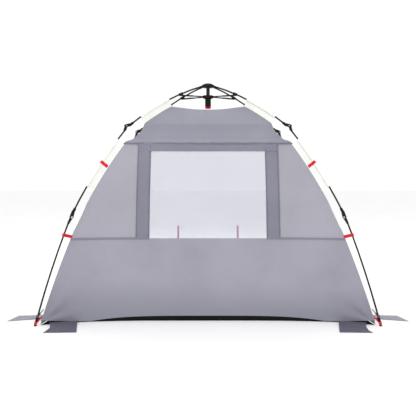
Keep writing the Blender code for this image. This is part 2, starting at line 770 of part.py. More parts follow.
def make_side_walls(materials):
    """The two side walls."""
    for name, side in (("left_wall", -1), ("right_wall", 1)):
        rows = []
        for z in [WALL_TOP, *spread(HEM_HEIGHT, WALL_LOW_ROW, 7), WALL_FOOT]:
            reach = corner_reach(z) * math.sin(LEG_TURN) - WALL_TUCK
            share = 1 - CORNER_GAP / reach
            rows.append([side_point(s, z, WALL_TUCK, side) for s in spread(-share, share, 6)])
        cloth(name, rows, materials["wall_fabric"])


def roof_loop(z, droop=0.0):
    """One closed loop around the roof, starting at its rear left corner."""
    rear = [rear_point(s, z, 0.0) for s in spread(-1.0, 1.0, 6)[:-1]]
    right = [side_point(s, z, 0.0, 1) for s in spread(-1.0, 1.0, 6)[:-1]]
    front = [Vector((-p.x, -p.y, p.z)) for p in rear]
    left = [Vector((-p.x, -p.y, p.z)) for p in right]
    loop = rear + right + front + left
    for points in (rear, right, front, left):
        for k, point in enumerate(points):
            share = 2 * k / len(points) - 1
            point.z -= droop * (1 - share * share)
    return loop


def make_roof(materials):
    """The roof: a closed cap over the four legs, down to the hem that overhangs the walls."""
    bm = bmesh.new()
    rows = [(ROOF_TOP + (WALL_TOP - ROOF_TOP) * down, ROOF_SAG * (1 - down) ** 2) for down in ROOF_ROWS]
    rings = [[bm.verts.new(p) for p in roof_loop(z, droop)] for z, droop in [*rows, (HEM_HEIGHT, 0.0)]]
    count = len(rings[0])
    low = ROOF_TOP - ROOF_SAG * 0.9
    inner = [bm.verts.new((v.co.x * ROOF_INNER_RING, v.co.y * ROOF_INNER_RING, low)) for v in rings[0]]
    peak = bm.verts.new((0.0, 0.0, ROOF_TOP - ROOF_SAG))
    for first, second in zip([inner, *rings], rings):
        for i in range(count):
            j = (i + 1) % count
            bm.faces.new((first[i], second[i], second[j], first[j]))
    for i in range(count):
        bm.faces.new((peak, inner[i], inner[(i + 1) % count]))
    mesh = bpy.data.meshes.new("roof")
    bm.to_mesh(mesh)
    bm.free()
    mesh.shade_smooth()
    obj = add_object("roof", mesh, materials["roof_fabric"])
    thicken = obj.modifiers.new("thickness", "SOLIDIFY")
    thicken.thickness = CLOTH
    thicken.offset = -1.0


def make_floor(materials):
    """Floor sheet, and its upturned rear edge under the rear wall."""
    inset = WALL_TUCK + CLOTH + 0.004
    rear = [rear_point(s, GROUND, inset) for s in spread(-1.0, 1.0, 12)]
    side = [side_point(s, GROUND, inset, 1) for s in spread(-1.0, 1.0, 6)][1:]
    far = [side_point(s, GROUND, inset, -1) for s in spread(1.0, -1.0, 6)][:-1]
    outline = [(p.x, p.y) for p in rear + side + far]
    bm = bmesh.new()
    rings = [[bm.verts.new((x, y, z)) for x, y in outline] for z in (0.0, FLOOR_THICKNESS)]
    bridge_rings(bm, rings)
    add_object("floor", to_mesh(bm, "floor"), materials["floor_fabric"])

    bm = bmesh.new()
    rings = []
    for x in wall_columns(GROUND)[1:-1]:
        base = rear_point(x / rear_half_width(GROUND), GROUND, WALL_TUCK)
        top = floor_edge_top(x)
        section = [(0.0, 0.0), (CLOTH, 0.0), (CLOTH, top), (0.0, top)]
        rings.append([bm.verts.new((base.x, base.y + depth, z)) for depth, z in section])
    bridge_rings(bm, rings)
    add_object("floor_edge", to_mesh(bm, "floor_edge"), materials["floor_fabric"])


def flap_pair(name, corners, material):
    """A pair of flat ground flaps, mirrored left and right."""
    for label, side in (("left", -1), ("right", 1)):
        bm = bmesh.new()
        rings = [[bm.verts.new((side * x, y, z)) for x, y in corners] for z in (0.0, FLAP_THICKNESS)]
        bridge_rings(bm, rings)
        add_object(f"{name}_{label}", to_mesh(bm, name), material)


def make_flaps(materials):
    """Ground flaps behind and beside the rear corners, which are weighed down with sand or pegged."""
    full = corner_reach(GROUND) * math.cos(LEG_TURN)
    inner = [rear_point(x / full, GROUND, 0.0) for x in REAR_FLAP]
    rear = [*((p.x, p.y - FLAP_GAP) for p in inner), *REAR_FLAP_TIPS]
    flap_pair("rear_flap", rear, materials["flap_fabric"])
    depth = corner_reach(GROUND) * math.sin(LEG_TURN)
    edge = [side_point(y / depth, GROUND, 0.0, 1) for y in SIDE_FLAP]
    side = [(edge[0].x + FLAP_GAP, edge[0].y), *SIDE_FLAP_TIPS, (edge[1].x + FLAP_GAP, edge[1].y)]
    flap_pair("side_flap", side, materials["flap_fabric"])


def main():
    """Build every piece."""
    clear_scene()
    materials = make_finishes()
    make_upper_poles(materials)
    make_middle_poles(materials)
    make_lower_poles(materials)
    make_struts(materials)
    make_hub(materials)
    make_rear_wall(materials)
    make_side_walls(materials)
    make_roof(materials)
    make_floor(materials)
    make_flaps(materials)


main()
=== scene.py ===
"""Looks of a pop up tent: cloth, webbing, hardware finishes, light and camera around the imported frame.

Metres, +Z up. The rear wall faces -Y and the entrance +Y. Each leg lies in one upright plane through the
hub's axis, where a point is (r, z): its distance out and its height.
"""

from __future__ import annotations

import json
import logging
import math
from collections.abc import Callable, Sequence
from dataclasses import dataclass, field
from enum import Enum
from functools import cached_property, partial
from itertools import accumulate, chain

import bmesh
import bpy
from mathutils import Matrix, Vector, noise

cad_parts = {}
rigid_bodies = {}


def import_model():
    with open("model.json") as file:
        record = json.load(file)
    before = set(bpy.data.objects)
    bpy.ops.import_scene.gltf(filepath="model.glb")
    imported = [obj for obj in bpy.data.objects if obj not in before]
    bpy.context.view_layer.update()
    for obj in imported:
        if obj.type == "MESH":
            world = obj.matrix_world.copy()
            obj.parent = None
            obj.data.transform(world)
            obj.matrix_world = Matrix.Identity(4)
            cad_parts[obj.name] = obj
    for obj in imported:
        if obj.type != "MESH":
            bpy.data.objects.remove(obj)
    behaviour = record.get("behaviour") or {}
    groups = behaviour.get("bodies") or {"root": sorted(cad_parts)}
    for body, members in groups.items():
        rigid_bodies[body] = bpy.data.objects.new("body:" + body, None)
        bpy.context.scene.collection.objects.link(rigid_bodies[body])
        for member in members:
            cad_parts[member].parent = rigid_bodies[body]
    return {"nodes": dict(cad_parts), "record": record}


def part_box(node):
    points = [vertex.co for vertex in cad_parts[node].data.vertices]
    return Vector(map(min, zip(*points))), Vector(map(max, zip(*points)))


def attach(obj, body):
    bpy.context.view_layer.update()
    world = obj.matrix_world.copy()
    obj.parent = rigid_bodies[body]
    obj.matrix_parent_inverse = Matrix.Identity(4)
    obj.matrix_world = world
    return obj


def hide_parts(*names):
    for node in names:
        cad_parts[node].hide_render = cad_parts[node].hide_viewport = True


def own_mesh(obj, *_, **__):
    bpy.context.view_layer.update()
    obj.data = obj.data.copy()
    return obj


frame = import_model()
LOG = logging.getLogger("tent")

MM = 0.001
ROOT = "tent_body"
FOLD = "crown_drop"
CUT_MARGIN = 0.2 * MM
GROUND = 0.001
Plane = tuple[float, float]
Rows = list[list[Vector]]
Edge = float | Callable[[float], float]


class Side(Enum):
    """Left or right half of the tent, as the sign of X."""

    LEFT = -1
    RIGHT = 1

    @property
    def word(self) -> str:
        """The side's name in a piece name."""
        return self.name.lower()


class Held(Enum):
    """How a sheet of cloth is held."""

    STRETCHED = "stretched"
    LAID = "laid"
    HUNG = "hung"


class Seed(float, Enum):
    """Which stretch of the noise each cloth's waves are cut from."""

    ROOF = 1.0
    LOWER_WALL = 5.0
    SIDE_PANEL = 8.0
    SURROUND = 12.0
    TOP_STRIP = 16.0
    SURROUND_FINE = 20.0
    PANE = 21.0
    TOP_STRIP_FINE = 31.0
    SIDE_WALL = 40.0
    FLOOR = 50.0
    FLOOR_EDGE = 60.0
    FLAP = 70.0
    WEB = 80.0
    POCKET = 81.0


# ---- Colours and nodes ----

THREAD_TINT = (0.94, 0.94, 0.95, 1.0)
FOLD_SIZE_MM = 1000 / 9
CLOTH_IOR = 1.50
NYLON_IOR = 1.53


def linear(hex_code: str) -> tuple[float, float, float, float]:
    """Turn an sRGB hex colour into Blender's linear colour.

    Args:
        hex_code: Six hex digits after a hash sign.

    Returns:
        Linear red, green and blue, and an alpha of 1.
    """
    parts = [int(hex_code[i : i + 2], 16) / 255 for i in (1, 3, 5)]
    red, green, blue = (p / 12.92 if p <= 0.04045 else ((p + 0.055) / 1.055) ** 2.4 for p in parts)
    return (red, green, blue, 1.0)


@dataclass
class NodeBench:
    """A material's node tree with one helper that adds a node."""

    name: str
    tree: bpy.types.NodeTree = field(init=False)
    shader: bpy.types.Node = field(init=False)
    material: bpy.types.Material = field(init=False)

    def __post_init__(self) -> None:
        """Make the material and find its shader."""
        self.material = bpy.data.materials.new(self.name)
        self.material.use_nodes = True
        self.tree = self.material.node_tree
        self.shader = self.tree.nodes["Principled BSDF"]

    def add(self, kind: str, links: dict | None = None, **settings: object) -> bpy.types.Node:
        """Add one node.

        Args:
            kind: The node's type name.
            links: Input name or number to a value, or to a (node, output) pair.
            settings: Properties to set on the node itself.

        Returns:
            The new node.
        """
        node = self.tree.nodes.new(kind)
        for key, value in settings.items():
            setattr(node, key, value)
        for key, value in (links or {}).items():
            if isinstance(value, tuple) and isinstance(value[0], bpy.types.Node):
                self.tree.links.new(value[0].outputs[value[1]], node.inputs[key])
            else:
                node.inputs[key].default_value = value
        return node

    def feed(self, socket: str, node: bpy.types.Node, output: str | int) -> None:
        """Link a node's output to one of the shader's sockets."""
        self.tree.links.new(node.outputs[output], self.shader.inputs[socket])

    def fix(self, values: dict[str, float]) -> None:
        """Set constants on the shader's own sockets."""
        for socket, value in values.items():
            self.shader.inputs[socket].default_value = value

    def noise(self, coords: bpy.types.Node, size_mm: float, detail: float, **more: float) -> bpy.types.Node:
        """Add noise over the object's own coordinates.

        Args:
            coords: The texture coordinate node.
            size_mm: Size of one patch.
            detail: Number of finer layers.
            more: Other inputs, by their names with underscores for spaces.

        Returns:
            The noise node.
        """
        extra = {name.replace("_", " "): value for name, value in more.items()}
        links = {"Vector": (coords, "Object"), "Scale": 1 / (size_mm * MM), "Detail": detail, **extra}
        return self.add("ShaderNodeTexNoise", links)

    def bump(self, height: tuple, strength: float, distance: float, **more: tuple) -> bpy.types.Node:
        """Add a bump of a distance in metres, driven by a (node, output) pair."""
        return self.add("ShaderNodeBump", {"Height": height, "Strength": strength, "Distance": distance, **more})

    def remap(self, source: tuple, old: Plane, new: Plane, **settings: str) -> bpy.types.Node:
        """Turn a (node, output) pair's old range into a new one."""
        ends = {"From Min": old[0], "From Max": old[1], "To Min": new[0], "To Max": new[1]}
        return self.add("ShaderNodeMapRange", {"Value": source, **ends}, **settings)

    def ramp(self, source: tuple, stops: Sequence[tuple[float, tuple]]) -> bpy.types.Node:
        """Add a colour ramp.

        Args:
            source: The (node, output) pair that drives it.
            stops: Pairs of place and linear colour, the first and the last included.

        Returns:
            The ramp node.
        """
        node = self.add("ShaderNodeValToRGB", {"Fac": source})
        elements = node.color_ramp.elements
        for (place, colour), element in zip((stops[0], stops[-1]), (elements[0], elements[1])):
            element.position, element.color = place, colour
        for place, colour in stops[1:-1]:
            elements.new(place).color = colour
        return node


@dataclass(frozen=True)
class ClothFinish:
    """Coated polyester or webbing, woven. The weave gives a fine tooth, the coating a soft dull sheen."""

    name: str
    colour: str
    shade: str
    thread_mm: float = 3.0
    roughness: float = 0.72
    sheen: float = 0.15
    cloud_mm: float = 420.0
    crease: float = 0.22
    weave: float = 0.10
    alpha: float = 1.0
    # Painted shade: a darker colour that the cloth turns to towards the ground.
    ground_shade: str = ""
    ground_height: float = 0.30
    gloss: float = 0.5

    def make(self) -> bpy.types.Material:
        """Build the material.

        Returns:
            The finished material. The weave follows the piece's UV map, which is in metres.
        """
        bench = NodeBench(self.name)
        coords = bench.add("ShaderNodeTexCoord")
        clouds = bench.noise(coords, self.cloud_mm, 4.0, Roughness=0.55)
        tone = bench.ramp((clouds, "Fac"), [(0.32, linear(self.shade)), (0.62, linear(self.colour))])
        colour: tuple = (tone, "Color")
        # Painted shade: darken the colour towards the ground, fading out over the lowest part of the wall.
        if self.ground_shade:
            split = bench.add("ShaderNodeSeparateXYZ", {"Vector": (coords, "Object")})
            smooth = {"interpolation_type": "SMOOTHSTEP"}
            height = bench.remap((split, "Z"), (0.0, self.ground_height), (1.0, 0.0), **smooth)
            mix = {0: (height, "Result"), "A": (tone, "Color"), "B": linear(self.ground_shade)}
            colour = (bench.add("ShaderNodeMix", mix, data_type="RGBA"), "Result")
        wave = {"Vector": (coords, "UV"), "Scale": 1 / (self.thread_mm * MM * 2), "Distortion": 0.4}
        warp, weft = (bench.add("ShaderNodeTexWave", wave, bands_direction=way) for way in ("X", "Y"))
        weave = bench.add("ShaderNodeMath", {0: (warp, "Fac"), 1: (weft, "Fac")}, operation="MULTIPLY")
        mix = {0: (weave, "Value"), "A": colour, "B": THREAD_TINT}
        fleck = bench.add("ShaderNodeMix", mix, data_type="RGBA", blend_type="MULTIPLY")
        bench.feed("Base Color", fleck, "Result")
        folds = bench.noise(coords, FOLD_SIZE_MM, 6.0, Roughness=0.5, Distortion=0.6)
        soft = bench.bump((folds, "Fac"), self.crease, 12 * MM)
        tooth = bench.bump((weave, "Value"), self.weave, 0.4 * MM, Normal=(soft, "Normal"))
        bench.feed("Normal", tooth, "Normal")
        bench.fix({
            "Roughness": self.roughness, "Sheen Weight": self.sheen, "Sheen Roughness": 0.45,
            "IOR": CLOTH_IOR, "Specular IOR Level": self.gloss, "Alpha": self.alpha,
        })
        return bench.material


@dataclass(frozen=True)
class HardFinish:
    """Moulded plastic or a drawn rod: one colour, worn and dusty here and there, with a fine grain."""

    name: str
    colour: str
    worn: str
    roughness: float = 0.45
    metallic: float = 0.0
    patch_mm: float = 60.0
    wear: float = 0.18
    grain_mm: float = 1.5
    grain: float = 0.12
    gloss: float = 0.22

    def make(self) -> bpy.types.Material:
        """Build the material.

        Returns:
            The finished material. A metal keeps the default IOR.
        """
        bench = NodeBench(self.name)
        coords = bench.add("ShaderNodeTexCoord")
        patches = bench.noise(coords, self.patch_mm, 5.0, Roughness=0.6)
        tone = bench.ramp((patches, "Fac"), [(0.45, linear(self.colour)), (0.75, linear(self.worn))])
        bench.feed("Base Color", tone, "Color")
        worn = min(1.0, self.roughness + self.wear)
        rough = bench.remap((patches, "Fac"), (0.35, 0.7), (self.roughness, worn))
        bench.feed("Roughness", rough, "Result")
        pits = bench.noise(coords, self.grain_mm, 2.0)
        bench.feed("Normal", bench.bump((pits, "Fac"), self.grain, 0.1 * MM), "Normal")
        bench.fix({"Metallic": self.metallic})
        if not self.metallic:
            bench.fix({"IOR": NYLON_IOR, "Specular IOR Level": self.gloss})
        return bench.material


class Finish(Enum):
    """Every finish of the tent. Each one's material is made once, when it is first asked for."""

    ROOF = ClothFinish("coated_polyester_roof", "#8F8F9C", "#878794")
    # The lower wall's colour at the ground is painted shade, darker towards the floor.
    LOWER_WALL = ClothFinish("coated_polyester_wall", "#9F9EAA", "#94939F", ground_shade="#8B8A97")
    SIDE_PANEL = ClothFinish("coated_polyester_side", "#A5A4AE", "#9D9CA7")
    SURROUND = ClothFinish("doubled_polyester_surround", "#838291", "#7A7988", crease=0.4)
    PANE = ClothFinish(
        "fine_window_mesh", "#BDBDCE", "#B6B6C7", thread_mm=2.0, alpha=0.36, weave=0.06, crease=0.10
    )
    SEAM = ClothFinish("bound_seam_tape", "#737281", "#6B6A79", thread_mm=2.0)
    # Partly painted shadow: this black also fills the dark strip under the rear wall's hem, which is partly the
    # floor's edge and partly the shadow under the wall.
    FLOOR = ClothFinish(
        "black_groundsheet", "#101011", "#0A0A0B", roughness=0.7, crease=0.5, sheen=0.0, gloss=0.15
    )
    # Painted shade: the rear flaps are darkened for the shadow they lie in, while the side flaps keep the wall
    # cloth.
    FLAP = ClothFinish("dark_polyester_flap", "#575666", "#4A4958", crease=0.5, sheen=0.05)
    SLEEVE = ClothFinish("cream_polyester_sleeve", "#FAFAF4", "#F1F1EA", cloud_mm=90.0, crease=0.3)
    SLEEVE_EDGE = ClothFinish("sleeve_stitching", "#DCDCD5", "#D0D0C9", thread_mm=1.5)
    RED = ClothFinish("red_webbing", "#E4001A", "#CF0018", thread_mm=2.0, weave=0.5, crease=0.1)
    LOOP = ClothFinish("grey_webbing", "#5C5B68", "#4C4B57", thread_mm=2.0, weave=0.5)
    POLE = HardFinish("glass_fibre_rod", "#101011", "#1C1C1D", roughness=0.5)
    PLASTIC = HardFinish("moulded_black_nylon", "#0D0D0D", "#1A1A1A", roughness=0.6, grain=0.3)
    POST = HardFinish("black_painted_tube", "#222225", "#303034", roughness=0.45)
    RIVET = HardFinish("zinc_rivet", "#B9BABC", "#8F9092", roughness=0.32, metallic=1.0)

    @cached_property
    def material(self) -> bpy.types.Material:
        """The finish as a material."""
        return self.value.make()


# ---- The tent's lines ----


@dataclass(frozen=True)
class LegLine:
    """The pole line of one leg in its plane, and the turn of each leg about the hub's axis."""

    hub: Plane = (0.036, 1.682)
    upper: Plane = (0.677, 1.341)
    lower: Plane = (1.098, 0.713)
    foot_x: float = 1.145
    foot_y: float = 0.700
    upper_bow: float = 0.034
    middle_bow: float = 0.022
    lower_bow: float = 0.012
    steps: int = 48

    @property
    def turn(self) -> float:
        """Angle of the front right leg from +X."""
        return math.atan2(self.foot_y, self.foot_x)

    @property
    def legs(self) -> dict[str, float]:
        """Each leg's name and its angle from +X."""
        return {
            "rear_right": -self.turn,
            "front_right": self.turn,
            "front_left": math.pi - self.turn,
            "rear_left": math.pi + self.turn,
        }

    def section(self, start: Plane, end: Plane, bow: float) -> list[Vector]:
        """Points of one pole, bowed outwards by bow at its middle."""
        a, b = Vector(start), Vector(end)
        along = (b - a).normalized()
        outer = Vector((-along.y, along.x))
        shares = [k / self.steps for k in range(self.steps + 1)]
        return [a.lerp(b, s) + outer * bow * 4 * s * (1 - s) for s in shares]

    @property
    def sections(self) -> list[list[Vector]]:
        """The upper, middle and lower pole."""
        foot = (math.hypot(self.foot_x, self.foot_y), 0.0)
        return [
            self.section(self.hub, self.upper, self.upper_bow),
            self.section(self.upper, self.lower, self.middle_bow),
            self.section(self.lower, foot, self.lower_bow),
        ]


def path_length(path: Sequence[Vector]) -> float:
    """Length of a path."""
    return sum((b - a).length for a, b in zip(path, path[1:]))


def running(points: Sequence[Vector]) -> list[float]:
    """Distance covered so far at each point of a line."""
    return [*accumulate(((b - a).length for a, b in zip(points, points[1:])), initial=0.0)]


def along_path(path: Sequence[Vector], distance: float) -> tuple[Vector, Vector, Vector]:
    """A place on a path.

    Args:
        path: Points in a leg's plane.
        distance: How far along it.

    Returns:
        The point, the direction there, and the outward normal.
    """
    left = distance
    for a, b in zip(path, path[1:]):
        step = (b - a).length
        if left <= step or b is path[-1]:
            along = (b - a).normalized()
            return a + along * left, along, Vector((-along.y, along.x))
        left -= step
    raise ValueError("an empty path")


def leg_point(
    path: Sequence[Vector], turn: float, distance: float, out: float, side: float, lift: float = 0.0
) -> Vector:
    """A point near a pole.

    Args:
        path: The pole's line in its leg's plane.
        turn: The leg's angle from +X.
        distance: How far along the line.
        out: How far outwards of the line, square to it.
        side: How far to the side of the leg's plane.
        lift: How far straight up.

    Returns:
        The point in the tent's own axes.
    """
    point, _, outer = along_path(path, distance)
    base = point + outer * out
    return Matrix.Rotation(turn, 4, "Z") @ Vector((base.x, side, base.y + lift))


@dataclass
class CanopyShape:
    """The canopy's surface: its corner line inside the legs, and the walls that hang between the corners."""

    line: LegLine
    sleeve_width: float = 0.051
    sleeve_to_wall: float = 0.004
    foot_edge: float = 0.026
    upper_cutout: float = 0.036
    lower_cutout: float = 0.006
    cutout_above: float = 0.130
    cutout_below: float = 0.075
    roof_top: float = 1.508
    roof_sag: float = 0.022
    hem: float = 1.222
    tuck: float = 0.004
    rear_sag: Plane = (0.012, 0.135)
    side_sag: Plane = (0.006, 0.050)
    floor_edge_half: float = 0.790
    floor_edge_height: float = 0.034
    corner: list[Vector] = field(init=False)

    def __post_init__(self) -> None:
        """Work out the corner line."""
        points: list[Vector] = []
        before = 0.0
        for path in self.line.sections:
            length = path_length(path)
            for k in range(1, 60):
                distance = length * k / 60
                point, _, outer = along_path(path, distance)
                points.append(point - outer * self.offset(before + distance))
            before += length
        self.corner = [points[0]]
        for point in points[1:]:
            if point.y < self.corner[-1].y - 0.0005:
                self.corner.append(point)
        reach = math.hypot(self.line.foot_x, self.line.foot_y)
        self.corner.append(Vector((reach - self.foot_edge, 0.0)))

    def floor_edge(self, x: float) -> float:
        """Height of the floor's upturned rear edge at a place across it; the black edge stands partly for painted
        shadow under the rear wall.
        """
        return self.floor_edge_height * max(0.0, 1 - (abs(x) / self.floor_edge_half) ** 4)

    def offset(self, distance: float) -> float:
        """How far inside the pole line the corner runs, at a distance from the hub."""
        upper, middle, lower = (path_length(p) for p in self.line.sections)
        offset = self.sleeve_width + self.sleeve_to_wall
        below = max(0.0, (distance - upper - middle) / lower)
        offset += (self.foot_edge - offset) * below
        for knuckle, depth in ((upper, self.upper_cutout), (upper + middle, self.lower_cutout)):
            away = (distance - knuckle) / (self.cutout_below if distance > knuckle else self.cutout_above)
            offset += depth * max(0.0, 1 - abs(away) ** 3)
        return offset

    def reach(self, z: float) -> float:
        """Distance of the corner from the hub's axis at a height."""
        for a, b in zip(self.corner, self.corner[1:]):
            if a.y >= z >= b.y:
                return a.x + (b.x - a.x) * (a.y - z) / (a.y - b.y)
        return self.corner[0].x if z > self.corner[0].y else self.corner[-1].x

    def sag(self, z: float, ends: Plane) -> float:
        """How far a wall's middle hangs inwards at a height."""
        down = 1 - z / self.roof_top
        return ends[0] + (ends[1] - ends[0]) * down * down

    def rear_half(self, z: float, inset: float) -> float:
        """Half the rear wall's width at a height."""
        return self.reach(z) * math.cos(self.line.turn) - inset

    def rear(self, x: float, z: float, inset: float) -> Vector:
        """A point of the rear wall at a place across it and a height."""
        share = x / self.rear_half(z, inset)
        depth = self.reach(z) * math.sin(self.line.turn) - inset - self.sag(z, self.rear_sag) * (1 - share**4)
        return Vector((x, -depth, z))

    def side(self, share: float, z: float, inset: float, sign: int) -> Vector:
        """A point of a side wall. share runs from -1 at its rear corner to 1 at its front."""
        reach = self.reach(z)
        y = share * (reach * math.sin(self.line.turn) - inset)
        x = reach * math.cos(self.line.turn) - inset - self.sag(z, self.side_sag) * (1 - share * share)
        return Vector((sign * x, y, z))


# ---- Making pieces ----

EDGE_RISE = (8, 6)
SHARP_ANGLE = math.radians(60)
DEEP_BELOW = Vector((0.0, 0.0, -5.0))


def deselect() -> None:
    """Leave nothing selected."""
    for obj in bpy.context.view_layer.objects:
        obj.select_set(False)


def apply_modifiers(obj: bpy.types.Object) -> None:
    """Apply every modifier of an object."""
    deselect()
    bpy.context.view_layer.objects.active = obj
    obj.select_set(True)
    for modifier in list(obj.modifiers):
        bpy.ops.object.modifier_apply(modifier=modifier.name)


def settle(obj: bpy.types.Object) -> None:
    """Put an object's place into its mesh, so that the object sits at the origin."""
    obj.data.transform(obj.matrix_world)
    obj.matrix_world = Matrix.Identity(4)


def spread(low: float, high: float, steps: int) -> list[float]:
    """Evenly spaced values from low to high."""
    return [low + (high - low) * k / steps for k in range(steps + 1)]


def crumple(point: Vector, size: float, depth: float, seed: float = 0.0) -> float:
    """A smooth random height, for the slack of cloth.

    Args:
        point: Where it is asked for.
        size: Distance from one hump to the next.
        depth: Largest height.
        seed: Shifts the pattern.

    Returns:
        A height from minus depth to depth.
    """
    return depth * noise.noise(point / size + Vector((seed, seed * 0.7, -seed)))


def level(point: Vector) -> Vector:
    """The level direction from the hub's axis to a point."""
    return Vector((point.x, point.y, 0.0)).normalized()


def inside_edges(across: float, down: float) -> float:
    """How free cloth is to wave, at shares of its width and height: 0 along its edges, 1 well inside."""
    return min(1.0, EDGE_RISE[0] * min(across, 1 - across)) * min(1.0, EDGE_RISE[1] * min(down, 1 - down))


def one_side_area(rows: Rows) -> float:
    """Area of a grid of points."""
    total = 0.0
    for upper, lower in zip(rows, rows[1:]):
        for a, b, c, d in zip(upper, upper[1:], lower[1:], lower):
            total += (b - a).cross(c - a).length / 2 + (c - a).cross(d - a).length / 2
    return total


@dataclass
class Sheet:
    """One cut of cloth or webbing through a grid of points, with a UV map in metres."""

    name: str
    rows: Rows
    finish: Finish
    slot: str
    body: str = ROOT
    thickness: float = 0.9 * MM
    offset: float = -1.0
    held: Held = Held.STRETCHED
    replaces: tuple[str, ...] = ()
    outward_from: Vector = field(default_factory=lambda: Vector((0.0, 0.0, 0.6)))
    squash: bool = True
    keep: float = 0.025
    gather: tuple[Vector, Vector] | None = None
    around: bool = False
    obj: bpy.types.Object = field(init=False)

    def build(self) -> bpy.types.Object:
        """Returns:
            The finished object.
        """
        rows = [[*row, row[0]] for row in self.rows] if self.around else self.rows
        across = running(rows[len(rows) // 2])
        down = running([row[len(row) // 2] for row in self.rows])
        bm = bmesh.new()
        layer = bm.loops.layers.uv.new("UVMap")
        verts = [[bm.verts.new(p) for p in row] for row in self.rows]
        for i in range(len(rows) - 1):
            for j in range(len(rows[0]) - 1):
                k = (j + 1) % len(verts[0])
                face = bm.faces.new((verts[i][j], verts[i][k], verts[i + 1][k], verts[i + 1][j]))
                for loop, (row, column) in zip(face.loops, ((i, j), (i, j + 1), (i + 1, j + 1), (i + 1, j))):
                    loop[layer].uv = (across[column], down[row])
        bm.normal_update()
        start = self.outward_from
        facing = sum((f.calc_center_median() - start).dot(f.normal) * f.calc_area() for f in bm.faces)
        if facing < 0:
            bmesh.ops.reverse_faces(bm, faces=bm.faces)
        mesh = bpy.data.meshes.new(self.name)
        bm.to_mesh(mesh)
        bm.free()
        mesh.shade_smooth()
        mesh.materials.append(self.finish.material)
        self.obj = bpy.data.objects.new(self.name, mesh)
        bpy.context.scene.collection.objects.link(self.obj)
        thicken = self.obj.modifiers.new("thickness", "SOLIDIFY")
        thicken.thickness = self.thickness
        thicken.offset = self.offset
        apply_modifiers(self.obj)
        self.obj.data.set_sharp_from_angle(angle=SHARP_ANGLE)
        self.declare(rows)
        return self.obj

    def declare(self, rows: Rows) -> None:
        """Hide the CAD parts that the sheet replaces, attach it to its body, give some sheets their own mesh, and
        log its area.
        """
        area = one_side_area(rows)
        longest = (max(running(line)[-1] for line in lines) for lines in (rows, zip(*rows)))
        flat = tuple(round(length + CUT_MARGIN, 4) for length in longest)
        if self.replaces:
            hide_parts(*self.replaces)
        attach(self.obj, self.body)
        if self.gather:
            axis, anchor = self.gather
            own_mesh(self.obj, FOLD, axis=tuple(axis), anchor=tuple(anchor), keep=self.keep)
        elif self.squash and self.body == ROOT:
            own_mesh(self.obj)
        LOG.info("sheet %s: %.3f m2", self.name, area)


